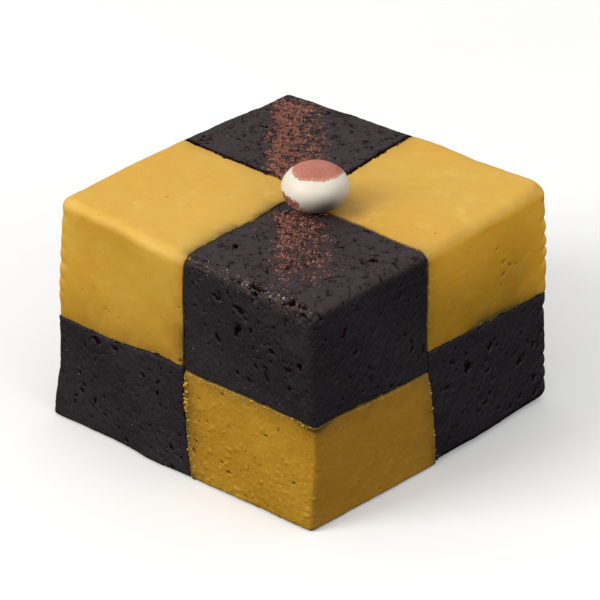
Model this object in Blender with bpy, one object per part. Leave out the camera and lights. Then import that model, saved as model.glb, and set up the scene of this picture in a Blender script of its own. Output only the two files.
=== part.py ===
"""A chequered katli: mango paste and chocolate paste in eight soft blocks, with one white pearl on top.

The blocks stand two by two by two. Each starts as a cube cut into a grid, has its edges softened at
true size, and is then carried into its cell of a slightly crooked lattice, so that all the seams wander
together and neighbours keep one even gap. Dark blocks have small pits, and the two dark tops carry the
largest lumps of a stripe of cocoa. Metres, +Z up, with the origin on the ground under the middle.
"""
import math
import random
from dataclasses import dataclass

import bmesh
import bpy
import numpy as np
from mathutils import Matrix, Vector

MM = 0.001

# The whole sweet
TOP_SIDE = 30.2 * MM
BASE_SIDE = 31.2 * MM
HEIGHT = 21.0 * MM
GAP = 0.3 * MM

# A block before it is bent into its cell
BLOCK_SIDE = TOP_SIDE / 2
BLOCK_HEIGHT = HEIGHT / 2
SEAM_RADIUS = 0.38 * MM
FOOT_RADIUS = 0.45 * MM
GRID_CELLS = 8
ROUND_LINE = 0.45

# The pearl and the shallow seat that it is pressed into
PEARL_RADIUS = 2.94 * MM
PEARL_HALF_HEIGHT = 2.07 * MM
PEARL_CENTRE = (2.6 * MM, -1.2 * MM)
PEARL_SINK = 0.05 * MM
PEARL_SIDES = 20
PEARL_RINGS = 11

# How far each upright line of the lattice stands from its even place, in mm along X and Y, at the
# base, at half height and at the top. Columns count from -X and rows from -Y.
LINE_SHIFT = {
    (0, 0): ((0.50, -0.35), (0.20, 0.10), (-0.10, 0.35)),
    (1, 0): ((1.60, -0.55), (0.45, -0.20), (0.55, -0.05)),
    (2, 0): ((-0.30, 0.25), (0.00, -0.10), (0.20, -0.55)),
    (0, 1): ((0.30, 0.30), (0.00, 0.50), (-0.45, 0.80)),
    (1, 1): ((0.30, 0.00), (0.20, -0.20), (0.25, -0.22)),
    (2, 1): ((0.10, -0.02), (0.00, -0.65), (-0.05, -1.20)),
    (0, 2): ((0.30, -0.30), (0.30, -0.40), (0.35, -0.60)),
    (1, 2): ((0.00, 0.10), (-0.20, 0.20), (-0.45, 0.45)),
    (2, 2): ((-0.20, 0.25), (-0.45, 0.65), (-0.85, 1.15)),
}

# Where each column splits into its lower and upper block: heights in mm at its corners, in the order
# (-X, -Y), (+X, -Y), (-X, +Y), (+X, +Y)
WAIST = {
    (0, 0): (9.60, 10.40, 10.10, 10.20),
    (1, 0): (10.05, 10.25, 10.00, 9.45),
    (0, 1): (10.30, 10.30, 10.40, 10.50),
    (1, 1): (10.60, 11.30, 10.50, 10.50),
}
TOP_DROP = {(0, 0): 0.0, (1, 0): 0.05, (0, 1): 0.20, (1, 1): 0.0}

# The two seams across the top don't run straight through: each steps aside under the pearl.
JOG_X = 1.30 * MM
JOG_Y = -1.95 * MM
JOG_LENGTH = 0.12

# Slow waves that the whole sweet shares: size, then turns across X, Y and Z and a starting angle
WAVES = (
    (0.10 * MM, (1.9, 0.7, 1.6), 0.4),
    (0.08 * MM, (0.8, 2.3, 2.1), 2.1),
    (0.06 * MM, (3.1, 2.6, 1.2), 4.0),
)
WAVE_GROUND = 2.5 * MM

# The largest pits of the sides that are seen, by block and by the axis that the side faces along: place
# across and up the side, length in mm, and slant in degrees from across towards up
PITS = {
    ("dark_upper_front", 1): (
        (0.43, 0.58, 1.15, 60), (0.53, 0.63, 0.50, 90), (0.44, 0.76, 1.15, 170), (0.26, 0.78, 0.90, 12),
        (0.27, 0.41, 0.80, 120), (0.17, 0.48, 0.55, 140), (0.69, 0.52, 0.75, 160), (0.80, 0.50, 0.80, 35),
        (0.91, 0.50, 0.80, 35), (0.63, 0.29, 1.20, 100), (0.42, 0.17, 0.55, 150), (0.51, 0.16, 0.65, 165),
    ),
    ("dark_upper_front", 0): (
        (0.26, 0.69, 0.80, 60), (0.11, 0.73, 0.55, 120), (0.16, 0.65, 0.50, 110), (0.36, 0.48, 0.55, 50),
        (0.21, 0.31, 0.55, 50), (0.48, 0.20, 0.50, 80), (0.75, 0.13, 0.60, 75), (0.82, 0.40, 0.55, 100),
        (0.87, 0.32, 0.45, 100), (0.78, 0.75, 0.45, 70),
    ),
    ("dark_upper_front", 2): (
        (0.83, 0.74, 1.05, 40), (0.60, 0.73, 0.60, 40), (0.50, 0.82, 0.50, 40), (0.13, 0.30, 0.80, 130),
        (0.26, 0.29, 0.50, 60),
    ),
    ("dark_upper_back", 2): (
        (0.81, 0.74, 0.70, 20), (0.60, 0.86, 0.55, 40), (0.14, 0.27, 0.55, 30), (0.74, 0.30, 0.60, 70),
    ),
    ("dark_lower_left", 1): (
        (0.34, 0.93, 0.95, 170), (0.48, 0.93, 0.70, 165), (0.69, 0.78, 0.50, 120), (0.80, 0.76, 0.45, 60),
        (0.80, 0.66, 0.50, 60), (0.90, 0.90, 0.45, 45), (0.19, 0.35, 0.60, 110), (0.29, 0.30, 0.55, 80),
        (0.36, 0.38, 0.45, 60), (0.48, 0.16, 0.55, 80), (0.88, 0.22, 0.60, 110),
    ),
    ("dark_lower_right", 0): (
        (0.30, 0.71, 1.20, 75), (0.48, 0.77, 0.80, 65), (0.47, 0.58, 0.45, 60), (0.50, 0.47, 0.50, 40),
        (0.39, 0.45, 0.70, 60), (0.73, 0.49, 0.85, 55), (0.85, 0.58, 0.75, 60), (0.85, 0.26, 0.80, 50),
        (0.74, 0.17, 0.65, 45), (0.87, 0.13, 0.65, 45),
    ),
}

# Pits of the sides that the photo hides are drawn at random within the same range
PIT_SEED = 41
PITS_ON_A_SIDE = 9
PIT_LENGTH = (0.5, 1.1)
PIT_SLANT = (35, 85)
PIT_MARGIN = 0.12
PIT_WIDTH = 0.55
PIT_DEPTH = 0.45
PIT_SIDES = 7
PIT_RINGS = 5

COCOA_SEED = 7
COCOA_LUMPS = 26
COCOA_SIZE = (0.36 * MM, 0.62 * MM)
COCOA_WIDTH = 0.8
COCOA_RISE = 0.9
COCOA_HALF_WIDTH = 1.9 * MM
COCOA_TURN = math.radians(42.4)
COCOA_SPREAD = 0.5
COCOA_MARGIN = 0.06
COCOA_SIDES = 6
COCOA_RINGS = 4

# Reach of the cocoa stripe on the back and the front top: its two ends along the stripe, counted
# towards the back corner, and how far its middle lies to the right
COCOA_BACK = (3.6 * MM, 19.0 * MM, -1.3 * MM)
COCOA_FRONT = (-13.5 * MM, -4.2 * MM, -0.1 * MM)

FACE_STEP = 0.02
SEARCH_STEPS = 12

MANGO = ("mango paste", (0.76, 0.44, 0.055), 0.45)
CHOCOLATE = ("chocolate paste", (0.022, 0.015, 0.017), 0.5)
PEARL = ("white sugar shell", (0.86, 0.84, 0.74), 0.3)


@dataclass(frozen=True)
class Block:
    """One block: its name, its column and row, whether it is an upper one, its paste and softness."""

    name: str
    cell: tuple
    upper: bool
    paste: tuple
    softness: float


BLOCKS = (
    Block("mango_upper_left", (0, 0), True, MANGO, 1.0 * MM),
    Block("dark_upper_front", (1, 0), True, CHOCOLATE, 0.7 * MM),
    Block("dark_upper_back", (0, 1), True, CHOCOLATE, 0.7 * MM),
    Block("mango_upper_right", (1, 1), True, MANGO, 1.15 * MM),
    Block("dark_lower_left", (0, 0), False, CHOCOLATE, 0.5 * MM),
    Block("mango_lower_front", (1, 0), False, MANGO, 0.45 * MM),
    Block("mango_lower_back", (0, 1), False, MANGO, 0.6 * MM),
    Block("dark_lower_right", (1, 1), False, CHOCOLATE, 1.2 * MM),
)


def clear_scene():
    """Take every object out of the scene."""
    for obj in list(bpy.data.objects):
        bpy.data.objects.remove(obj, do_unlink=True)


def new_collection(name):
    """Add a collection to the scene."""
    collection = bpy.data.collections.new(name)
    bpy.context.scene.collection.children.link(collection)
    return collection


def make_material(finish):
    """Make one Principled material from its name, colour and roughness."""
    name, colour, roughness = finish
    if name in bpy.data.materials:
        return bpy.data.materials[name]
    material = bpy.data.materials.new(name)
    material.use_nodes = True
    shader = material.node_tree.nodes["Principled BSDF"]
    shader.inputs["Base Color"].default_value = (*colour, 1.0)
    shader.inputs["Roughness"].default_value = roughness
    shader.inputs["Metallic"].default_value = 0.0
    return material


def add_object(name, mesh, collection, finish=None):
    """Put a mesh in a collection under its name, with its material."""
    obj = bpy.data.objects.new(name, mesh)
    collection.objects.link(obj)
    if finish:
        mesh.materials.append(make_material(finish))
    return obj


def soften(points, low, high, low_radius, high_radius):
    """Round a box's edges: a point near an edge is drawn in until it lies on the edge's ellipsoid.

    Each side of the box has its own radius, and a side with none keeps its edges.
    """
    core = np.clip(points, low + low_radius, high - high_radius)
    out = points - core
    radius = np.where(out < 0, low_radius, high_radius)
    share = np.abs(out) / np.where(radius > 0, radius, 1.0)
    longest = share.max(axis=1, keepdims=True)
    length = np.linalg.norm(share, axis=1, keepdims=True)
    return core + out * np.where(length > 0, longest / np.where(length > 0, length, 1.0), 1.0)


def line_place(column, row, height):
    """Place of an upright lattice line at each height: a parabola through its three shifts."""
    share = height / HEIGHT
    side = BASE_SIDE + (TOP_SIDE - BASE_SIDE) * share
    base, middle, top = (np.array(shift) * MM for shift in LINE_SHIFT[(column, row)])
    weights = np.stack([(1 - share) * (1 - 2 * share), 4 * share * (1 - share), share * (2 * share - 1)])
    shift = np.einsum("kn,kc->nc", weights, np.stack([base, middle, top]))
    even = np.stack([(column - 1) * side / 2, (row - 1) * side / 2], axis=1)
    return even + shift


def across(values, u, v):
    """Blend four corner values, in the order (0, 0), (1, 0), (0, 1), (1, 1), over a unit square."""
    first, second, third, fourth = values
    return first * (1 - u) * (1 - v) + second * u * (1 - v) + third * (1 - u) * v + fourth * u * v


def jog(along, size):
    """Sideways step of a top seam: full beside the middle, none at the outer face."""
    return size / 2 * (1 - np.abs(along - 1)) * np.tanh((along - 1) / JOG_LENGTH)


def waver(points):
    """Slow waves over the whole sweet, which fade out in height near the ground."""
    moved = points.copy()
    ground = np.clip(points[:, 2] / WAVE_GROUND, 0, 1)
    for number, (size, turns, start) in enumerate(WAVES):
        angle = points @ (np.array(turns) * 2 * math.pi / TOP_SIDE) + start
        moved[:, 0] += size * np.sin(angle + number)
        moved[:, 1] += size * np.cos(angle * 1.1 - number)
        moved[:, 2] += 0.5 * size * ground * np.sin(angle * 0.9 + 2 * number)
    return moved


def into_lattice(unit, cell, upper):
    """Carry points of a unit block into its cell of the crooked lattice."""
    u, v, w = unit.T
    waist = across([value * MM for value in WAIST[cell]], u, v)
    top = HEIGHT - TOP_DROP[cell] * MM
    height = waist + w * (top - waist) if upper else w * waist
    column, row = cell
    corners = [line_place(column + i, row + j, height) for j in (0, 1) for i in (0, 1)]
    place = across(corners, u[:, None], v[:, None])
    s, t = column + u, row + v
    place[:, 0] += jog(t, JOG_X) * (1 - np.abs(s - 1))
    place[:, 1] += jog(s, JOG_Y) * (1 - np.abs(t - 1))
    return waver(np.column_stack([place, height]))


def block_sides(block):
    """The block's low and high corner and the softness of each side, at true size, before bending."""
    column, row = block.cell
    outer_low = np.array([column == 0, row == 0, not block.upper])
    outer_high = np.array([column == 1, row == 1, block.upper])
    size = np.array([BLOCK_SIDE, BLOCK_SIDE, BLOCK_HEIGHT])
    low = np.where(outer_low, 0.0, GAP / 2)
    high = size - np.where(outer_high, 0.0, GAP / 2)
    soft_low = np.where(outer_low, block.softness, 0.0)
    soft_high = np.where(outer_high, block.softness, 0.0)
    if not block.upper:
        soft_low[2] = FOOT_RADIUS
    return size, low, high, soft_low, soft_high


def grid_lines(low, high, soft_low, soft_high):
    """Places of the grid's lines along one axis: close together over each rounded edge."""
    first, last = max(soft_low, SEAM_RADIUS), max(soft_high, SEAM_RADIUS)
    start, end = [low, low + first], [high - last, high]
    if soft_low > SEAM_RADIUS:
        start.insert(1, low + ROUND_LINE * first)
    if soft_high > SEAM_RADIUS:
        end.insert(1, high - ROUND_LINE * last)
    spare = GRID_CELLS + 1 - len(start) - len(end)
    middle = np.linspace(start[-1], end[0], spare + 2)[1:-1]
    return np.array(start + list(middle) + end)


def grid_cube(lines):
    """Cut a cube into a grid on each face and move its lines to the places given for each axis."""
    mesh = bmesh.new()
    bmesh.ops.create_cube(mesh, size=2.0)
    bmesh.ops.subdivide_edges(mesh, edges=mesh.edges[:], cuts=GRID_CELLS - 1, use_grid_fill=True)
    index = np.array([vertex.co for vertex in mesh.verts])
    index = np.rint((index + 1) / 2 * GRID_CELLS).astype(int)
    points = np.column_stack([lines[axis][index[:, axis]] for axis in range(3)])
    return mesh, points


def make_block(block, collection):
    """Model one block: a gridded box, its seam edges eased, its outer edges softened, then bent."""
    size, low, high, soft_low, soft_high = block_sides(block)
    lines = [grid_lines(low[i], high[i], soft_low[i], soft_high[i]) for i in range(3)]
    mesh, points = grid_cube(lines)
    seam = np.full(3, SEAM_RADIUS)
    points = soften(points, low, high, seam, seam)
    points = soften(points, low, high, soft_low, soft_high)
    placed = into_lattice(points / size, block.cell, block.upper)
    for vertex, place in zip(mesh.verts, placed):
        vertex.co = place
    bmesh.ops.triangulate(mesh, faces=mesh.faces[:])
    data = bpy.data.meshes.new(block.name)
    mesh.to_mesh(data)
    mesh.free()
    data.shade_smooth()
    return add_object(block.name, data, collection, block.paste)


def face_frame(block, axis, end, u, v):
    """A point on one outer face, with the outward way and a way along the face, all after bending."""
    def at(a, b):
        unit = np.zeros(3)
        unit[axis] = end
        others = [i for i in range(3) if i != axis]
        unit[others[0]], unit[others[1]] = a, b
        return Vector(into_lattice(unit[None, :], block.cell, block.upper)[0])

    origin = at(u, v)
    first = (at(u + FACE_STEP, v) - origin).normalized()
    second = (at(u, v + FACE_STEP) - origin).normalized()
    outward = first.cross(second).normalized()
    centre = Vector(into_lattice(np.full((1, 3), 0.5), block.cell, block.upper)[0])
    if outward.dot(origin - centre) < 0:
        outward.negate()
    return origin, outward, first


def ball(centre, outward, along, size, sides, rings):
    """Make a low ball as a mesh, its length along one way and its thickness along another."""
    mesh = bmesh.new()
    bmesh.ops.create_uvsphere(mesh, u_segments=sides, v_segments=rings, radius=1.0)
    beside = outward.cross(along).normalized()
    along = beside.cross(outward)
    turn = Matrix((along, beside, outward)).transposed().to_4x4()
    place = Matrix.Translation(centre) @ turn @ Matrix.Diagonal((*size, 1.0))
    bmesh.ops.transform(mesh, matrix=place, verts=mesh.verts[:])
    data = bpy.data.meshes.new("ball")
    mesh.to_mesh(data)
    mesh.free()
    return data


def outer_faces(block):
    """The block's outer faces that take pits: each as its axis and its end, 0 or 1."""
    column, row = block.cell
    faces = [(0, column), (1, row)]
    return faces + [(2, 1)] if block.upper else faces


def scatter_pits(draw):
    """Scatter pits over a hidden side, one in each row and column of an even grid, so that none meet."""
    span = 1 - 2 * PIT_MARGIN
    order = list(range(PITS_ON_A_SIDE))
    draw.shuffle(order)
    for number, strip in enumerate(order):
        across = PIT_MARGIN + span * (number + draw.uniform(0.2, 0.8)) / PITS_ON_A_SIDE
        up = PIT_MARGIN + span * (strip + draw.uniform(0.2, 0.8)) / PITS_ON_A_SIDE
        yield across, up, draw.uniform(*PIT_LENGTH), draw.uniform(*PIT_SLANT)


def add_pits(block, draw, cutters):
    """Make the cutters for one dark block's pits: slanted ovals sunk into its outer faces."""
    pits = new_collection(f"pits of {block.name}")
    cutters.children.link(pits)
    bpy.context.scene.collection.children.unlink(pits)
    for axis, end in outer_faces(block):
        for u, v, length, slant in PITS.get((block.name, axis)) or tuple(scatter_pits(draw)):
            centre, outward, along = face_frame(block, axis, end, u, v)
            along = Matrix.Rotation(math.radians(slant), 3, outward) @ along
            half = length * MM / 2
            size = (half, half * PIT_WIDTH, half * PIT_DEPTH * 2)
            hollow = ball(centre, outward, along, size, PIT_SIDES, PIT_RINGS)
            pit = add_object(f"pit {len(pits.objects)}", hollow, pits)
            pit.hide_render = True
            pit.display_type = "WIRE"
    return pits


def combine(target, operation, others, keep):
    """Join or cut a block by a whole collection, either as a live modifier or as one applied step."""
    modifier = target.modifiers.new(operation.lower(), "BOOLEAN")
    modifier.operation = operation
    modifier.operand_type = "COLLECTION"
    modifier.collection = others
    modifier.solver = "EXACT"
    if keep:
        return
    graph = bpy.context.evaluated_depsgraph_get()
    joined = bpy.data.meshes.new_from_object(target.evaluated_get(graph))
    target.modifiers.remove(modifier)
    target.data = joined
    for obj in list(others.objects):
        bpy.data.objects.remove(obj, do_unlink=True)
    bpy.data.collections.remove(others)


def on_the_top(block, x, y):
    """Find where a plan position lies on a block's top, by stepping towards it through the lattice."""
    unit = np.array([[0.5, 0.5, 1.0]])
    for _ in range(SEARCH_STEPS):
        place = into_lattice(unit, block.cell, True)[0]
        unit[0, 0] += (x - place[0]) / BLOCK_SIDE
        unit[0, 1] += (y - place[1]) / BLOCK_SIDE
    return unit[0, 0], unit[0, 1], Vector(place)


def add_cocoa(block, draw, reach):
    """Fuse the stripe's largest lumps onto one dark top, thickest along the stripe's own middle."""
    lumps = new_collection(f"cocoa of {block.name}")
    to_side = Vector((math.cos(COCOA_TURN), math.sin(COCOA_TURN)))
    to_back = Vector((-math.sin(COCOA_TURN), math.cos(COCOA_TURN)))
    start, end, middle = reach
    for number in range(COCOA_LUMPS):
        far = start + (end - start) * (number + draw.uniform(0.1, 0.9)) / COCOA_LUMPS
        aside = middle + max(-1.0, min(1.0, draw.gauss(0, COCOA_SPREAD))) * COCOA_HALF_WIDTH
        plan = to_side * aside + to_back * far
        u, v, place = on_the_top(block, plan.x, plan.y)
        if min(u, v, 1 - u, 1 - v) < COCOA_MARGIN:
            continue
        centre, outward, along = face_frame(block, 2, 1, u, v)
        size = draw.uniform(*COCOA_SIZE) / 2
        along = Matrix.Rotation(draw.uniform(0, math.pi), 3, outward) @ along
        sizes = (size, size * COCOA_WIDTH, size * COCOA_RISE)
        add_object(f"lump {number}", ball(centre, outward, along, sizes, COCOA_SIDES, COCOA_RINGS), lumps)
    combine(bpy.data.objects[block.name], "UNION", lumps, keep=False)


def pearl_mesh(spare=0.0):
    """The pearl's oval body, larger all round by the spare distance."""
    height = HEIGHT - PEARL_SINK + PEARL_HALF_HEIGHT
    size = (PEARL_RADIUS + spare, PEARL_RADIUS + spare, PEARL_HALF_HEIGHT + spare)
    centre = Vector((*PEARL_CENTRE, height))
    return ball(centre, Vector((0, 0, 1)), Vector((1, 0, 0)), size, PEARL_SIDES, PEARL_RINGS)


def make_pearl(collection, cutters):
    """Add the pearl, and cut its seat into the blocks under it."""
    data = pearl_mesh()
    data.shade_smooth()
    add_object("pearl", data, collection, PEARL)
    seats = new_collection("pearl seat")
    cutters.children.link(seats)
    bpy.context.scene.collection.children.unlink(seats)
    seat = add_object("seat", pearl_mesh(GAP), seats)
    seat.hide_render = True
    seat.display_type = "WIRE"
    for block in BLOCKS:
        if block.upper:
            combine(bpy.data.objects[block.name], "DIFFERENCE", seats, keep=True)


def build():
    """Make every block, the pits and cocoa of the dark ones, and the pearl."""
    clear_scene()
    sweet = new_collection("mango katli")
    cutters = new_collection("cutters")
    pit_draw = random.Random(PIT_SEED)
    cocoa_draw = random.Random(COCOA_SEED)
    for block in BLOCKS:
        make_block(block, sweet)
    by_name = {block.name: block for block in BLOCKS}
    add_cocoa(by_name["dark_upper_back"], cocoa_draw, COCOA_BACK)
    add_cocoa(by_name["dark_upper_front"], cocoa_draw, COCOA_FRONT)
    make_pearl(sweet, cutters)
    for block in BLOCKS:
        if block.paste is CHOCOLATE:
            pits = add_pits(block, pit_draw, cutters)
            combine(bpy.data.objects[block.name], "DIFFERENCE", pits, keep=True)


build()
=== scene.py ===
"""Looks of the chequered katli: eight paste blocks, the white pearl, cocoa, crumbs and painted glints.

Every shape is a surface over a grid of two parameters. The six sides of a block are six such grids, whose
shared edges are welded. The blocks lie in the same crooked lattice as the solids, with closer seams and
finer relief. Sizes are in metres unless a name says mm.
"""
import logging
import math
import random
from dataclasses import dataclass, field
from enum import Enum, IntEnum

import bpy
import numpy as np
from mathutils import Matrix, Vector


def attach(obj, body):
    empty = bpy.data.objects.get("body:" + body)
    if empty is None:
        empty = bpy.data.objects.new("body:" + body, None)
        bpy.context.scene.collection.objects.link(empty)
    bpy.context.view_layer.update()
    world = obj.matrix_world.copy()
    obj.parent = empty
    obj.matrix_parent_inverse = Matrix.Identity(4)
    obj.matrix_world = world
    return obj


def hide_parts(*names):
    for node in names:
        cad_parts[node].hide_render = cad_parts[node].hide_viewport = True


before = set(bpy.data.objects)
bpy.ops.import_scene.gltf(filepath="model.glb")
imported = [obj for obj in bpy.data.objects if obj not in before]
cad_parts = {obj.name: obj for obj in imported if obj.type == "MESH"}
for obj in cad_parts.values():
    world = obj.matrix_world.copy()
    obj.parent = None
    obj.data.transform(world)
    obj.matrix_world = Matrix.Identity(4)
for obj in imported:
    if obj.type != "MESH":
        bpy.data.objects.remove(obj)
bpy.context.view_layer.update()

MM = 0.001
Array = np.ndarray
log = logging.getLogger("katli")

# The two other axes of each axis
OTHER_AXES = {0: (1, 2), 1: (0, 2), 2: (0, 1)}


class Paste(Enum):
    """The two pastes, by the name of their material slot."""

    MANGO = "mango"
    CHOCOLATE = "dark_chocolate"


class Seed(IntEnum):
    """Which random field each uneven feature reads."""

    LUMPS = 3
    PEARL_LUMPS = 5
    RAGGED = 11
    DARK_CRUMB = 21
    SAND = 23
    COCOA_EDGE = 31
    CAP_EDGE = 41
    COCOA_CLUMPS = 43
    SMEAR_EDGE = 47
    PORES = 61
    DENTS = 65
    SAND_GRAINS = 67
    COCOA_HEAPS = 71
    TICKS = 81
    FALLEN = 91
    FALLEN_REACH = 95
    WORN_PATCHES = 97
    CHIPS = 101
    NOTCH_SWAY = 111
    NOTCH_DEPTH = 117
    SHADE_PATCHES = 131
    SWAY = 301


class Signal:
    """A shader value that can be used in plain arithmetic; each operation adds one Math node."""

    def __init__(self, tree: "Tree", socket: bpy.types.NodeSocket) -> None:
        """Keep the tree and the output socket that carries the value."""
        self.tree = tree
        self.socket = socket

    def _math(self, operation: str, *terms: object, clamp: bool = False) -> "Signal":
        """Add a Math node.

        Args:
            operation: The node's operation.
            terms: Its inputs, as signals or numbers.
            clamp: Whether the result is held between 0 and 1.

        Returns:
            The node's result.
        """
        settings = {"operation": operation, "use_clamp": clamp}
        return self.tree.value("ShaderNodeMath", settings, dict(enumerate(terms)))

    def __add__(self, other: object) -> "Signal":
        """Sum."""
        return self._math("ADD", self, other)

    def __radd__(self, other: object) -> "Signal":
        """Sum with the number first."""
        return self._math("ADD", other, self)

    def __sub__(self, other: object) -> "Signal":
        """Difference."""
        return self._math("SUBTRACT", self, other)

    def __rsub__(self, other: object) -> "Signal":
        """Difference with the number first."""
        return self._math("SUBTRACT", other, self)

    def __mul__(self, other: object) -> "Signal":
        """Product."""
        return self._math("MULTIPLY", self, other)

    def __rmul__(self, other: object) -> "Signal":
        """Product with the number first."""
        return self._math("MULTIPLY", other, self)

    def __abs__(self) -> "Signal":
        """Size without its sign."""
        return self._math("ABSOLUTE", self)

    def held(self) -> "Signal":
        """The value held between 0 and 1."""
        return self._math("ADD", self, 0.0, clamp=True)

    def step(self, start: float, end: float) -> "Signal":
        """Smooth step from 0 at start to 1 at end, which may lie below start.

        Args:
            start: The value that gives 0.
            end: The value that gives 1.

        Returns:
            The stepped value.
        """
        settings = {"interpolation_type": "SMOOTHSTEP"}
        low, high, first, last = (start, end, 0.0, 1.0) if start < end else (end, start, 1.0, 0.0)
        inputs = {"Value": self, "From Min": low, "From Max": high, "To Min": first, "To Max": last}
        return self.tree.value("ShaderNodeMapRange", settings, inputs)


class Tree:
    """The nodes of one material or sky."""

    def __init__(self, owner: bpy.types.ID) -> None:
        """Turn on the nodes of a material or a sky.

        Args:
            owner: The material or the sky.
        """
        owner.use_nodes = True
        self.nodes = owner.node_tree.nodes
        self.links = owner.node_tree.links

    def node(self, kind: str, settings: dict | None = None, inputs: dict | None = None) -> bpy.types.Node:
        """Add any node.

        Args:
            kind: The node's type.
            settings: Its properties, set before its sockets.
            inputs: Its input sockets by name or number, each a signal, a socket or a plain value.

        Returns:
            The node.
        """
        node = self.nodes.new(kind)
        for key, value in (settings or {}).items():
            setattr(node, key, value)
        for key, value in (inputs or {}).items():
            self.feed(node.inputs[key], value)
        return node

    def feed(self, socket: bpy.types.NodeSocket, value: object) -> None:
        """Link or set one input socket.

        Args:
            socket: The input.
            value: A signal, an output socket, or a plain number or colour.
        """
        if isinstance(value, Signal):
            value = value.socket
        if isinstance(value, bpy.types.NodeSocket):
            self.links.new(value, socket)
        elif socket.type == "RGBA":
            socket.default_value = (*value, 1.0)
        else:
            socket.default_value = value

    def value(self, kind: str, settings: dict | None, inputs: dict, output: object = 0) -> Signal:
        """Add a node and wrap one of its outputs.

        Args:
            kind: The node's type.
            settings: Its properties.
            inputs: Its input sockets.
            output: The name or number of the output.

        Returns:
            That output.
        """
        return Signal(self, self.node(kind, settings, inputs).outputs[output])


class Coat(Tree):
    """One material's nodes, with its Principled shader and its Object coordinates in millimetres."""

    def __init__(self, name: str) -> None:
        """Make the material.

        Args:
            name: The material's name.
        """
        self.material = bpy.data.materials.new(name)
        super().__init__(self.material)
        self.shader = self.nodes["Principled BSDF"]
        place = self.node("ShaderNodeTexCoord").outputs["Object"]
        self.place = self.scaled(place, (1 / MM,) * 3)

    def scaled(self, vector: object, scale: tuple) -> Signal:
        """Multiply a vector by three numbers.

        Args:
            vector: The vector.
            scale: The three factors.

        Returns:
            The product.
        """
        return self.value("ShaderNodeVectorMath", {"operation": "MULTIPLY"}, {0: vector, 1: scale})

    def attribute(self, name: str) -> Signal:
        """Read a number that the mesh holds at each of its points."""
        return self.value("ShaderNodeAttribute", {"attribute_name": name}, {}, "Fac")

    def noise(
        self, size: float, detail: float = 2.0, rough: float = 0.5, place: object = None, bend: float = 0.0
    ) -> Signal:
        """Fractal noise.

        Args:
            size: The size of its largest spots in mm.
            detail: How many finer layers it has.
            rough: How strong each finer layer is.
            place: Where it is read, or None for Object coordinates.
            bend: How far it is distorted.

        Returns:
            The noise, from 0 to 1 round 0.5.
        """
        inputs = {"Vector": place or self.place, "Scale": 1 / size, "Detail": detail}
        inputs.update({"Roughness": rough, "Distortion": bend})
        return self.value("ShaderNodeTexNoise", {"noise_dimensions": "3D"}, inputs)

    def dot(self, way: tuple) -> Signal:
        """Place along one way, in millimetres."""
        settings = {"operation": "DOT_PRODUCT"}
        return self.value("ShaderNodeVectorMath", settings, {0: self.place, 1: way}, "Value")

    def slanted(self, way: tuple, stretch: float) -> Signal:
        """Draw the coordinates together along one way, so that noise read there is stretched along it.

        Args:
            way: The way, as a unit vector.
            stretch: How many times longer the noise's spots become.

        Returns:
            The place, less most of its share along the way.
        """
        kind = "ShaderNodeVectorMath"
        shift = self.value(kind, {"operation": "SCALE"}, {0: way, "Scale": self.dot(way) * (1 / stretch - 1)})
        return self.value(kind, {"operation": "ADD"}, {0: self.place, 1: shift})

    def cracks(self, size: float, width: float) -> Signal:
        """Thin lines where a noise crosses its middle value.

        Args:
            size: The size of the noise's largest spots in mm.
            width: How far from the middle value the lines reach.

        Returns:
            1 on the lines.
        """
        return abs(self.noise(size, 4.0, 0.6) - 0.5).step(width, 0.3 * width)

    def deepen(self, share: Signal, **inputs: object) -> None:
        """Mix in a second Principled shader.

        Args:
            share: How much of it shows.
            inputs: Its sockets, with underscores for the spaces in their names.
        """
        sockets = {key.replace("_", " "): value for key, value in inputs.items()}
        second = self.node("ShaderNodeBsdfPrincipled", None, sockets)
        ends = {0: share, 1: self.shader.outputs[0], 2: second.outputs[0]}
        both = self.node("ShaderNodeMixShader", None, ends)
        self.links.new(both.outputs[0], self.nodes["Material Output"].inputs["Surface"])

    def blend(self, share: object, first: object, second: object) -> Signal:
        """Mix two colours.

        Args:
            share: How much of the second shows.
            first: The first colour.
            second: The second colour.

        Returns:
            The mixed colour.
        """
        return self.value("ShaderNodeMix", {"data_type": "RGBA"}, {0: share, 6: first, 7: second}, 2)

    def bump(self, height: Signal, depth: float, under: Signal | None = None) -> Signal:
        """Turn a height into a bent normal.

        Args:
            height: The height, from 0 to 1.
            depth: What 1 stands for, in metres.
            under: A bump that this one lies on.

        Returns:
            The normal.
        """
        inputs = {"Height": height, "Distance": depth, "Strength": 1.0}
        if under is not None:
            inputs["Normal"] = under
        return self.value("ShaderNodeBump", None, inputs)

    def dress(self, **inputs: object) -> bpy.types.Material:
        """Feed the shader's sockets.

        Args:
            inputs: The sockets, with underscores for the spaces in their names.

        Returns:
            The material.
        """
        for key, value in inputs.items():
            self.feed(self.shader.inputs[key.replace("_", " ")], value)
        return self.material


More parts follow.
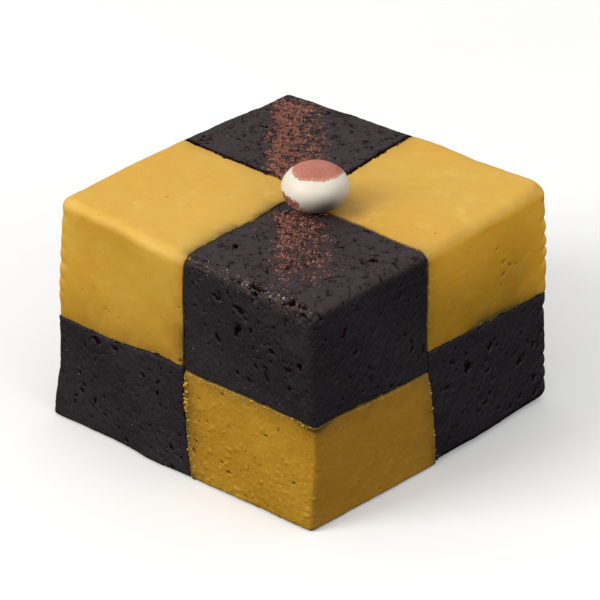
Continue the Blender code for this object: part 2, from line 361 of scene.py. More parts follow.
@dataclass(frozen=True)
class MangoFinish:
    """Mango paste: waxy yellow, deeper where it is cut, olive and darker along the seams."""

    name: str = "mango paste"
    yellow: tuple = (0.765, 0.445, 0.064)
    warm: tuple = (0.755, 0.405, 0.045)
    cut: tuple = (0.82, 0.485, 0.062)
    cut_warm: tuple = (0.765, 0.405, 0.040)
    # deep is painted light and shade on the side that looks along X: lighter here, darker in the sandy mango
    deep: tuple = (0.94, 0.480, 0.040)
    # low is the painted shade towards the foot of an upper block
    low: tuple = (0.44, 0.220, 0.014)
    pale: tuple = (0.88, 0.61, 0.17)
    # seam is the colour of the painted shade along the seams and round the pearl; shadow, of the painted
    # shadow in the seams
    seam: tuple = (0.15, 0.100, 0.016)
    shadow: tuple = (0.07, 0.045, 0.010)
    speck: tuple = (0.44, 0.19, 0.012)
    bright: tuple = (0.92, 0.72, 0.24)
    fleck: tuple = (0.84, 0.55, 0.10)
    # hollow is the painted shade in pits, dents and sandy holes
    hollow: tuple = (0.10, 0.045, 0.008)
    sand: float = 0.0
    rough: float = 0.36
    wave_depth: float = 0.010 * MM
    grit_depth: float = 0.035 * MM
    glow_reach: tuple = (1.0, 0.45, 0.10)
    glow_depth: float = 0.6 * MM

    # The way in which the knife drew the sandy paste
    CUT_WAY = (0.97, 0.0, -0.24)

    def material(self) -> bpy.types.Material:
        """Build the material.

        Returns:
            A Principled material whose colour follows broad mottling, seams, specks and pits.
        """
        tree = Coat(self.name)
        broad = tree.noise(8.0, 2.0, 0.5)
        middle = tree.noise(1.6, 4.0, 0.55)
        fine = tree.noise(0.22, 3.0, 0.6)
        side = tree.attribute("side")
        mottle = (broad * 0.7 + middle * 0.3).step(0.40, 0.68)
        top = tree.blend(mottle * 0.8, self.yellow, self.warm)
        cut = tree.blend(mottle, self.cut, self.cut_warm)
        # Painted light and shade: the side that looks along X takes its own colour
        cut = tree.blend(tree.attribute("turned"), cut, self.deep)
        # Painted shade towards the foot of an upper block
        cut = tree.blend(tree.attribute("low") * (0.6 + 0.5 * middle), cut, self.low)
        colour = tree.blend(side, top, cut)
        colour = tree.blend(middle.step(0.52, 0.80) * (0.18 - 0.13 * self.sand), colour, self.pale)
        clouds = tree.noise(2.6, 4.0, 0.6)
        spread = (0.28 - 0.20 * side) * (1.0 - 0.6 * self.sand)
        colour = tree.blend(clouds.step(0.50, 0.70) * spread, colour, self.pale)
        colour = tree.blend(clouds.step(0.48, 0.30) * spread, colour, self.warm)
        # Painted highlight along the rounded outer edges
        colour = tree.blend(tree.attribute("edge") * 0.36, colour, self.pale)
        gritty = 0.15 + 0.45 * self.sand
        patchy = 0.82 - 0.5 * gritty + 0.35 * middle + gritty * fine.step(0.62, 0.36)
        # Painted shade along the seams, round the pearl, in the front corner and at the right block's foot
        colour = tree.blend((tree.attribute("painted_shade") * patchy).held(), colour, self.seam)
        # Painted shadow in the seams, made ragged by noise
        ragged = (tree.attribute("seam") + (fine - 0.5) * 0.7).step(0.50, 1.0)
        colour = tree.blend(ragged * 0.8, colour, self.shadow)
        specks = tree.noise(0.42, 1.0, 0.4).step(0.75, 0.82)
        colour = tree.blend(specks * 0.38, colour, self.speck)
        grit = tree.noise(0.34, 1.0, 0.3, tree.scaled(tree.place, (1.0, -1.0, 1.3))).step(0.73, 0.80)
        colour = tree.blend(grit * 0.30, colour, self.bright)
        sandy = tree.attribute("sandy") * self.sand
        if self.sand:
            flecks = tree.noise(0.20, 3.0, 0.65, tree.slanted(self.CUT_WAY, 1.6))
            colour = tree.blend(flecks.step(0.56, 0.68) * sandy * 0.40, colour, self.fleck)
            colour = tree.blend(flecks.step(0.44, 0.33) * sandy * 0.60, colour, self.speck)
            holes = tree.noise(0.50, 3.0, 0.65, tree.slanted(self.CUT_WAY, 1.8)).step(0.675, 0.715)
            # Painted shade in the sandy holes
            colour = tree.blend(holes * sandy * 0.65, colour, self.hollow)
        # Painted shade in the pits and dents
        colour = tree.blend(tree.attribute("pit").step(0.0, 0.6) * 0.70, colour, self.speck)
        colour = tree.blend(tree.attribute("pit").step(0.45, 0.85) * 0.90, colour, self.hollow)
        rough = self.rough + 0.22 * middle + 0.12 * fine + 0.15 * tree.attribute("seam")
        coarse = tree.bump(middle, self.wave_depth)
        height = (fine + 0.5 * tree.noise(0.07, 2.0, 0.6)) * (0.3 + 0.9 * sandy)
        if self.sand:
            height = height + (1.4 * flecks - 1.6 * holes) * sandy
        normal = tree.bump(height, self.grit_depth, coarse)
        tree.dress(Base_Color=colour, Roughness=rough, Normal=normal, Subsurface_Weight=0.2)
        return tree.dress(Subsurface_Radius=self.glow_reach, Subsurface_Scale=self.glow_depth, IOR=1.38)


# The sandy paste of the two lower mango blocks is deeper in colour where it is cut
SANDY_SHADES = {
    "cut": (0.60, 0.312, 0.020),
    "cut_warm": (0.55, 0.272, 0.016),
    # Painted shade on the side that looks along X
    "deep": (0.480, 0.236, 0.024),
}


@dataclass(frozen=True)
class ChocolateFinish:
    """Chocolate paste: nearly black and dense, with ticks, a dust of cocoa and painted red-brown shade in its
    hollows.
    """

    dark: tuple = (0.0206, 0.0180, 0.0221)
    # Painted shade for the side that looks along X
    shaded_side: tuple = (0.0150, 0.0145, 0.0185)
    brown: tuple = (0.0400, 0.0222, 0.0250)
    # depth is the painted shade of pits, holes, ticks, cracks and seams, and also the colour of fine dark
    # specks
    depth: tuple = (0.0125, 0.0015, 0.0018)
    shade: tuple = (0.0190, 0.0125, 0.0140)
    light: tuple = (0.068, 0.043, 0.043)
    worn: tuple = (0.066, 0.040, 0.031)
    cocoa: tuple = (0.145, 0.054, 0.040)
    cocoa_light: tuple = (0.62, 0.225, 0.140)
    # gap is the painted shade between the cocoa grains
    gap: tuple = (0.0095, 0.0090, 0.0115)
    denser: float = 0.03
    rough: float = 0.44
    wave_depth: float = 0.045 * MM
    grit_depth: float = 0.06 * MM

    # The way in which the knife drew the paste, and the ways across and along the stripe of cocoa
    CUT_WAY = (0.54, -0.48, -0.69)
    ACROSS = (0.74, 0.67, 0.0)
    ALONG = (-0.67, 0.74, 0.0)

    def material(self) -> bpy.types.Material:
        """Build the material.

        Returns:
            A Principled material whose colour follows noise, worn edges, painted pit shade and the cocoa's
            cover.
        """
        tree = Coat("chocolate paste")
        broad = tree.noise(4.0, 3.0, 0.6)
        middle = tree.noise(0.75, 4.0, 0.65)
        fine = tree.noise(0.17, 3.0, 0.7)
        ticks = tree.noise(0.17, 2.0, 0.6, tree.slanted(self.CUT_WAY, 4.5)).step(0.60, 0.70)
        top = 1.0 - tree.attribute("side")
        behind = tree.dot(self.ALONG).step(-1.0, 1.0)
        torn = tree.noise(0.50, 4.0, 0.76, tree.slanted(self.CUT_WAY, 1.6))
        groups = tree.noise(1.9, 2.0, 0.5).step(0.50, 0.62)
        holes = (torn + 0.06 * groups - 0.04 * behind * top).step(0.695, 0.725)
        lines = tree.cracks(1.5, 0.020) * middle.step(0.47, 0.54) * top
        # Painted shade on the side that looks along X
        base = tree.blend(tree.attribute("turned") * 0.65, self.dark, self.shaded_side)
        base = tree.blend((top * 0.55 + broad * 0.35).held(), base, self.brown)
        colour = tree.blend(middle.step(0.55, 0.80) * 0.30, base, self.brown)
        colour = tree.blend(fine.step(0.44, 0.28) * 0.8, colour, self.depth)
        sparks = tree.noise(0.15, 2.0, 0.6, tree.slanted(self.ACROSS, 1.5)).step(0.62, 0.72)
        colour = tree.blend(sparks * (0.10 + 0.40 * top), colour, self.light)
        crumb = tree.noise(0.27, 4.0, 0.75, tree.slanted(self.ALONG, 1.6))
        colour = tree.blend(crumb.step(0.48, 0.30) * (0.25 + 0.60 * top), colour, self.shade)
        colour = tree.blend(crumb.step(0.54, 0.72) * (0.06 + 0.50 * top), colour, self.light)
        worn = tree.attribute("edge") * fine.step(0.38, 0.60)
        colour = tree.blend(worn, colour, self.worn)
        cover = tree.attribute("cocoa")
        back_grain = tree.noise(0.50, 4.0, 0.66, tree.slanted(self.ACROSS, 1.2), 0.5)
        front_grain = tree.noise(0.30, 3.0, 0.66, tree.slanted(self.ALONG, 1.5), 0.3)
        grain = back_grain * behind + self.denser * behind
        grain = grain + front_grain * (1.0 - behind)
        dust = (cover * 0.50 + grain * 2.0 + middle * 0.3 - 1.2).step(0.425, 0.490)
        dust = dust * cover.step(0.01, 0.06)
        haze = (cover * 1.3 + middle * 1.2 - 0.85).held() * cover.step(0.0, 0.15)
        colour = tree.blend(haze * 0.48, colour, self.cocoa)
        heaped = (fine * 0.6 + crumb * 0.7 - 0.15).step(0.42, 0.60)
        shade = tree.blend(heaped, self.cocoa, self.cocoa_light)
        colour = tree.blend(dust * 0.94, colour, shade)
        # Painted shade in the gaps between the cocoa grains
        gaps = (grain - self.denser * behind).step(0.48, 0.42) * cover.step(0.25, 0.7)
        colour = tree.blend(gaps * 0.9, colour, self.gap)
        rough = self.rough + 0.28 * fine + 0.25 * dust
        coarse = middle * (0.5 + 0.5 * top) + 0.7 * tree.noise(0.36, 2.0, 0.6) * top
        coarse = tree.bump(coarse, self.wave_depth)
        ticks = ticks * (0.65 - 0.25 * top)
        height = fine + 0.5 * tree.noise(0.06, 2.0, 0.6) + 1.4 * dust * (0.4 + heaped)
        height = height - 1.6 * ticks - 2.5 * holes - 1.8 * lines + 0.6 * sparks - 2.0 * gaps
        height = height + 1.2 * crumb * top
        normal = tree.bump(height, self.grit_depth, coarse)
        tree.dress(Base_Color=colour, Roughness=rough, Normal=normal, IOR=1.40)
        # Painted shade in pits, pores, holes, ticks, cracks and seams, through a second, darker shader
        hollow = tree.attribute("pit").step(0.25, 0.8) + holes + 0.55 * ticks + lines
        hollow = (hollow + tree.attribute("seam").step(0.24, 0.62)) * (1.0 - 0.9 * dust)
        tree.deepen(hollow.held(), Base_Color=self.depth, Roughness=0.85, Normal=normal, IOR=1.12)
        return tree.material


@dataclass(frozen=True)
class PearlFinish:
    """White sugar shell with a matte brown cap, and a smear of cocoa and painted grey shade at its foot."""

    white: tuple = (0.86, 0.79, 0.665)
    shade: tuple = (0.80, 0.74, 0.61)
    # grey is the painted shade at the foot
    grey: tuple = (0.100, 0.092, 0.070)
    cap: tuple = (0.56, 0.212, 0.152)
    rim: tuple = (0.80, 0.38, 0.25)
    spot: tuple = (0.27, 0.075, 0.042)
    rough: float = 0.36
    grit_depth: float = 0.05 * MM
    glow_reach: tuple = (1.0, 0.8, 0.5)
    glow_depth: float = 0.6 * MM

    def material(self) -> bpy.types.Material:
        """Build the material.

        Returns:
            A Principled material, glossy where it is white and matte where cocoa lies on it.
        """
        tree = Coat("sugar pearl")
        broad = tree.noise(2.2, 2.0, 0.5)
        fine = tree.noise(0.12, 3.0, 0.65)
        grains = tree.noise(0.30, 3.0, 0.7)
        cap = tree.attribute("cap")
        smear = tree.attribute("smear")
        dust = (cap + (fine - 0.5) * 0.22 + (grains - 0.5) * 0.10).step(0.43, 0.50)
        clumps = (smear + (grains - 0.5) * 2.2).step(0.46, 0.54) * smear.step(0.02, 0.2)
        rim = dust * cap.step(0.70, 0.54)
        brown = tree.blend(rim * 0.7, self.cap, self.rim)
        brown = tree.blend(rim * grains.step(0.52, 0.64) * 0.8, brown, self.spot)
        brown = tree.blend(fine.step(0.50, 0.66) * 0.50, brown, self.spot)
        brown = tree.blend(fine.step(0.44, 0.30) * 0.35, brown, self.rim)
        brown = tree.blend(broad.step(0.45, 0.70) * 0.25, brown, self.spot)
        colour = tree.blend(broad.step(0.4, 0.7) * 0.5, self.white, self.shade)
        # Painted shade at the foot
        colour = tree.blend(tree.attribute("foot"), colour, self.grey)
        colour = tree.blend(dust, colour, brown)
        colour = tree.blend(clumps, colour, tree.blend(grains.step(0.46, 0.62), self.spot, self.cap))
        matte = (dust + clumps).held()
        rough = self.rough + 0.10 * fine + 0.45 * matte
        height = 0.12 * fine + 0.5 * dust * (0.6 + fine) + 3.0 * clumps * (0.4 + grains)
        normal = tree.bump(height, self.grit_depth)
        tree.dress(Base_Color=colour, Roughness=rough, Normal=normal, Subsurface_Weight=0.08)
        return tree.dress(Subsurface_Radius=self.glow_reach, Subsurface_Scale=self.glow_depth, IOR=1.45)


@dataclass(frozen=True)
class GrainFinish:
    """A loose grain's finish: two colours that vary from grain to grain."""

    name: str
    first: tuple
    second: tuple
    rough: float
    glow: float = 0.0
    glow_depth: float = 0.2 * MM
    grit_depth: float = 0.02 * MM

    def material(self) -> bpy.types.Material:
        """Build the material.

        Returns:
            A Principled material that picks each grain's colour from its own number.
        """
        tree = Coat(self.name)
        fine = tree.noise(0.10, 2.0, 0.6)
        share = (tree.attribute("tone") * 0.75 + fine * 0.5).held()
        colour = tree.blend(share, self.first, self.second)
        rough = self.rough + 0.2 * (fine - 0.5)
        normal = tree.bump(fine, self.grit_depth)
        tree.dress(Base_Color=colour, Roughness=rough, Normal=normal)
        return tree.dress(Subsurface_Weight=self.glow, Subsurface_Scale=self.glow_depth)


@dataclass(frozen=True)
class FloorFinish:
    """Pale matte paper for the floor."""

    pale: tuple = (0.98, 0.98, 0.975)
    warm: tuple = (0.97, 0.97, 0.965)
    glow: float = 0.10

    def material(self) -> bpy.types.Material:
        """Build the material.

        Returns:
            A matte material with faint clouds.
        """
        tree = Coat("pale paper")
        clouds = tree.noise(60.0, 2.0, 0.5)
        colour = tree.blend(clouds.step(0.4, 0.6), self.pale, self.warm)
        tree.dress(Emission_Color=self.pale, Emission_Strength=self.glow)
        return tree.dress(Base_Color=colour, Roughness=0.9 + 0.05 * clouds)


def field_at(points: Array, size: float, seed: int) -> Array:
    """Smooth random field over space.

    Each corner of a cubic grid has a hashed number from -1 to 1. The eight numbers round a point are
    blended by the quintic 6t^5 - 15t^4 + 10t^3 of the point's place in its cell.

    Args:
        points: Places, one a row.
        size: The grid's spacing.
        seed: Which field.

    Returns:
        One number a point.
    """
    spread = points / size
    cell = np.floor(spread)
    part = spread - cell
    fade = part**3 * (part * (part * 6 - 15) + 10)
    cell = cell.astype(np.int64)
    total = np.zeros(len(points))
    for corner in np.ndindex(2, 2, 2):
        key = cell + corner
        code = key[:, 0] * 73856093 ^ key[:, 1] * 19349663 ^ key[:, 2] * 83492791 ^ seed * 2654435761
        code = code & 0xFFFFFFFF
        code = (code ^ code >> 15) * 0x2C1B3C6D & 0xFFFFFFFF
        code = (code ^ code >> 12) * 0x297A2D39 & 0xFFFFFFFF
        code = code ^ code >> 15
        share = np.where(np.array(corner) == 1, fade, 1 - fade).prod(axis=1)
        total += share * (code / 0x7FFFFFFF - 1.0)
    return total


def layered(points: Array, size: float, seed: int, layers: int = 3) -> Array:
    """Sum of random fields, each half the size and half the strength of the last.

    Args:
        points: Places, one a row.
        size: The size of the first field.
        seed: Which fields.
        layers: How many.

    Returns:
        One number a point, about -1 to 1.
    """
    return sum(field_at(points, size / 2**n, seed + n) / 2**n for n in range(layers)) / 1.4


def smooth(value: Array, start: float, end: float) -> Array:
    """Smooth step 3t^2 - 2t^3 from 0 at start to 1 at end, which may lie below start.

    Args:
        value: The values.
        start: The value that gives 0.
        end: The value that gives 1.

    Returns:
        The stepped values.
    """
    share = np.clip((value - start) / (end - start), 0, 1)
    return share * share * (3 - 2 * share)


def vertex_normals(points: Array, faces: Array) -> Array:
    """Outward way at each point: the sum over its faces of the cross product of their two diagonals.

    Args:
        points: Places, one a row.
        faces: Four point numbers a face.

    Returns:
        One unit vector a point.
    """
    corners = points[faces]
    across = np.cross(corners[:, 2] - corners[:, 0], corners[:, 3] - corners[:, 1])
    flat = np.repeat(across, 4, axis=0)
    total = [np.bincount(faces.ravel(), flat[:, axis], len(points)) for axis in range(3)]
    total = np.stack(total, axis=1)
    return total / np.maximum(np.linalg.norm(total, axis=1, keepdims=True), 1e-20)


@dataclass
class Piece:
    """One finished mesh: its points, faces, numbers at the points and places on its map."""

    name: str
    points: Array
    faces: Array
    numbers: dict = field(default_factory=dict)
    map_places: Array | None = None
    smooth: bool = True

    def place(self, material: bpy.types.Material, slot: str, nodes: tuple = ()) -> bpy.types.Object:
        """Make the object, dress it, attach it to the root body and hide the CAD parts that it stands for.

        Args:
            material: Its material.
            slot: The record's material slot; not used.
            nodes: The CAD nodes that it stands for.

        Returns:
            The object.
        """
        mesh = bpy.data.meshes.new(self.name)
        count, sides = self.faces.shape
        mesh.vertices.add(len(self.points))
        mesh.vertices.foreach_set("co", self.points.astype(np.float32).ravel())
        mesh.loops.add(count * sides)
        mesh.loops.foreach_set("vertex_index", self.faces.astype(np.int32).ravel())
        mesh.polygons.add(count)
        mesh.polygons.foreach_set("loop_start", np.arange(0, count * sides, sides, dtype=np.int32))
        mesh.polygons.foreach_set("use_smooth", np.full(count, self.smooth))
        mesh.update(calc_edges=True)
        mesh.validate()
        for key, numbers in self.numbers.items():
            layer = mesh.attributes.new(key, "FLOAT", "POINT")
            layer.data.foreach_set("value", numbers.astype(np.float32))
        if self.map_places is not None:
            layer = mesh.uv_layers.new(name="OFBake")
            layer.data.foreach_set("uv", self.map_places.astype(np.float32).ravel())
        mesh.materials.append(material)
        obj = bpy.data.objects.new(self.name, mesh)
        bpy.context.scene.collection.objects.link(obj)
        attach(obj, "root")
        if nodes:
            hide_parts(*nodes)
        log.info("%s: %d points, %d faces", self.name, len(self.points), count)
        return obj


@dataclass(frozen=True)
class Lattice:
    """The crooked lattice that holds the eight blocks.

    Its sizes are those of the solids, apart from one corner of the front column's split, which stands
    0.20 mm higher.
    """

    top_side: float = 30.2 * MM
    base_side: float = 31.2 * MM
    height: float = 21.0 * MM
    jog_x: float = 1.30 * MM
    jog_y: float = -1.95 * MM
    jog_length: float = 0.12
    wave_ground: float = 2.5 * MM

    # Shift of each upright line in mm along X and Y, at the base, at half height and at the top
    LINE_SHIFT = {
        (0, 0): ((0.50, -0.35), (0.20, 0.10), (-0.10, 0.35)),
        (1, 0): ((1.60, -0.55), (0.45, -0.20), (0.55, -0.05)),
        (2, 0): ((-0.30, 0.25), (0.00, -0.10), (0.20, -0.55)),
        (0, 1): ((0.30, 0.30), (0.00, 0.50), (-0.45, 0.80)),
        (1, 1): ((0.30, 0.00), (0.20, -0.20), (0.25, -0.22)),
        (2, 1): ((0.10, -0.02), (0.00, -0.65), (-0.05, -1.20)),
        (0, 2): ((0.30, -0.30), (0.30, -0.40), (0.35, -0.60)),
        (1, 2): ((0.00, 0.10), (-0.20, 0.20), (-0.45, 0.45)),
        (2, 2): ((-0.20, 0.25), (-0.45, 0.65), (-0.85, 1.15)),
    }

    # Height in mm at which each column splits, at its four corners
    WAIST = {
        (0, 0): (9.60, 10.40, 10.10, 10.20),
        (1, 0): (10.25, 10.25, 10.00, 9.45),
        (0, 1): (10.30, 10.30, 10.40, 10.50),
        (1, 1): (10.60, 11.30, 10.50, 10.50),
    }

    # How far in mm each column's top lies below the height
    TOP_DROP = {(0, 0): 0.0, (1, 0): 0.05, (0, 1): 0.20, (1, 1): 0.0}

    # Slow waves: size, turns over the top's side along X, Y and Z, and start in radians
    WAVES = (
        (0.10 * MM, (1.9, 0.7, 1.6), 0.4),
        (0.08 * MM, (0.8, 2.3, 2.1), 2.1),
        (0.06 * MM, (3.1, 2.6, 1.2), 4.0),
    )

    # Fine sway: its size and its spacing in mm
    SWAY = 0.04
    SWAY_SPACING = 1.3

    def block_size(self) -> Array:
        """Size of a block before it is bent."""
        return np.array([self.top_side / 2, self.top_side / 2, self.height / 2])

    def line_place(self, column: int, row: int, height: Array) -> Array:
        """Place of an upright line at each height: a parabola through its three shifts.

        Args:
            column: The line's column.
            row: The line's row.
            height: The heights.

        Returns:
            X and Y at each height.
        """
        share = height / self.height
        side = self.base_side + (self.top_side - self.base_side) * share
        shifts = np.array(self.LINE_SHIFT[(column, row)]) * MM
        weights = [(1 - share) * (1 - 2 * share), 4 * share * (1 - share), share * (2 * share - 1)]
        even = np.stack([(column - 1) * side / 2, (row - 1) * side / 2], axis=1)
        return even + np.stack(weights, axis=1) @ shifts

    @staticmethod
    def across(values: list, u: Array, v: Array) -> Array:
        """Blend four corner values, in the order (0, 0), (1, 0), (0, 1), (1, 1), over a unit square.

        Args:
            values: The four values.
            u: Places across.
            v: Places along.

        Returns:
            The blended values.
        """
        first, second, third, fourth = values
        return first * (1 - u) * (1 - v) + second * u * (1 - v) + third * (1 - u) * v + fourth * u * v

    def jog(self, along: Array, size: float) -> Array:
        """Sideways step of a top seam: a hyperbolic tangent that fades to none at the outer faces.

        Args:
            along: Places along the seam, from 0 to 2.
            size: The size of the step.

        Returns:
            The shift at each place.
        """
        return size / 2 * (1 - np.abs(along - 1)) * np.tanh((along - 1) / self.jog_length)

    def waver(self, points: Array) -> Array:
        """Add three slow sine waves to all places; in height they fade out near the ground.

        Args:
            points: The places.

        Returns:
            The moved places.
        """
        moved = points.copy()
        ground = np.clip(points[:, 2] / self.wave_ground, 0, 1)
        for number, (size, turns, start) in enumerate(self.WAVES):
            angle = points @ (np.array(turns) * 2 * math.pi / self.top_side) + start
            moved[:, 0] += size * np.sin(angle + number)
            moved[:, 1] += size * np.cos(angle * 1.1 - number)
            moved[:, 2] += 0.5 * size * ground * np.sin(angle * 0.9 + 2 * number)
        return moved

    def wobble(self, points: Array) -> Array:
        """Add a fine random sway to all places, the same for neighbours, which fades out at the ground.

        Args:
            points: The places.

        Returns:
            The moved places.
        """
        where = points / MM
        fields = [layered(where, self.SWAY_SPACING, Seed.SWAY + 10 * axis, 2) for axis in range(3)]
        sway = [self.SWAY * values for values in fields]
        sway[2] = sway[2] * smooth(where[:, 2], 0.3, 2.5)
        return points + np.stack(sway, axis=1) * MM

    def place(self, unit: Array, cell: tuple, upper: bool) -> Array:
        """Carry points of a unit block into its cell of the lattice.

        Args:
            unit: Points in the unit cube.
            cell: The block's column and row.
            upper: Whether it is an upper block.

        Returns:
            Their places.
        """
        u, v, w = unit.T
        waist = self.across([value * MM for value in self.WAIST[cell]], u, v)
        top = self.height - self.TOP_DROP[cell] * MM
        height = waist + w * (top - waist) if upper else w * waist
        column, row = cell
        corners = [self.line_place(column + i, row + j, height) for j in (0, 1) for i in (0, 1)]
        plan = self.across(corners, u[:, None], v[:, None])
        s, t = column + u, row + v
        plan[:, 0] += self.jog(t, self.jog_x) * (1 - np.abs(s - 1))
        plan[:, 1] += self.jog(s, self.jog_y) * (1 - np.abs(t - 1))
        return self.waver(np.column_stack([plan, height]))


@dataclass(frozen=True)
class CocoaStripe:
    """The stripe of cocoa across both dark tops: where it lies, its lumps and its finer grains."""

    turn: float = math.radians(42.4)
    seed: int = 7
    lumps: int = 26
    lump_size: tuple = (0.36 * MM, 0.62 * MM)
    lump_half_width: float = 1.9 * MM
    lump_spread: float = 0.5
    margin: float = 0.06

    # The solids' two stretches: both ends along the stripe, and how far its middle lies to the right
    BACK = (3.6 * MM, 19.0 * MM, -1.3 * MM)
    FRONT = (-13.5 * MM, -4.2 * MM, -0.1 * MM)

    # The thin cocoa of each stretch in mm: where its left and right sides begin and are full, where it
    # starts to thin towards the right and is thinnest, and where its two ends begin and are full
    BACK_LEFT, BACK_RIGHT, BACK_THINS = (-3.5, -1.7), (3.1, 1.6), (-1.0, 2.2)
    BACK_NEAR, BACK_FAR = (2.0, 3.4), (19.4, 18.2)
    FRONT_LEFT, FRONT_RIGHT, FRONT_THINS = (-2.9, -1.8), (3.0, 1.6), (-0.4, 1.6)
    FRONT_NEAR, FRONT_FAR = (-2.6, -3.4), (-20.0, -9.5)
    BACK_LEAN = 0.04
    FRONT_SHARE = 0.88

    def along_and_aside(self, points: Array) -> tuple:
        """Turn plan places into places along the stripe and to its right.

        Args:
            points: Places.

        Returns:
            How far towards the back corner, and how far to the right, in mm.
        """
        x, y = points[:, 0] / MM, points[:, 1] / MM
        cosine, sine = math.cos(self.turn), math.sin(self.turn)
        return -x * sine + y * cosine, x * cosine + y * sine

    def cover(self, points: Array) -> Array:
        """How thickly cocoa covers each place: smooth steps across and along, made ragged by noise.

        Args:
            points: Places on the tops.

        Returns:
            The cover, from 0 to 1.
        """
        far, aside = self.along_and_aside(points)
        flat = np.column_stack([points[:, 0], points[:, 1], np.zeros(len(points))]) / MM
        ragged = 0.45 * layered(flat, 1.1, Seed.COCOA_EDGE, 3)
        lean = aside - self.BACK_LEAN * (far - 18.0)
        back = smooth(lean + 0.8 * ragged, *self.BACK_LEFT) * (1 - 0.50 * smooth(aside, *self.BACK_THINS))
        back *= smooth(aside + ragged, *self.BACK_RIGHT)
        back_ends = smooth(far, *self.BACK_NEAR) * smooth(far + 0.6 * ragged, *self.BACK_FAR)
        front = smooth(aside + ragged, *self.FRONT_LEFT) * smooth(aside + ragged, *self.FRONT_RIGHT)
        front *= 1 - 0.28 * smooth(aside + 0.5 * ragged, *self.FRONT_THINS)
        front_ends = smooth(far + ragged, *self.FRONT_FAR) * smooth(far, *self.FRONT_NEAR)
        return np.maximum(back * back_ends, self.FRONT_SHARE * front * front_ends)


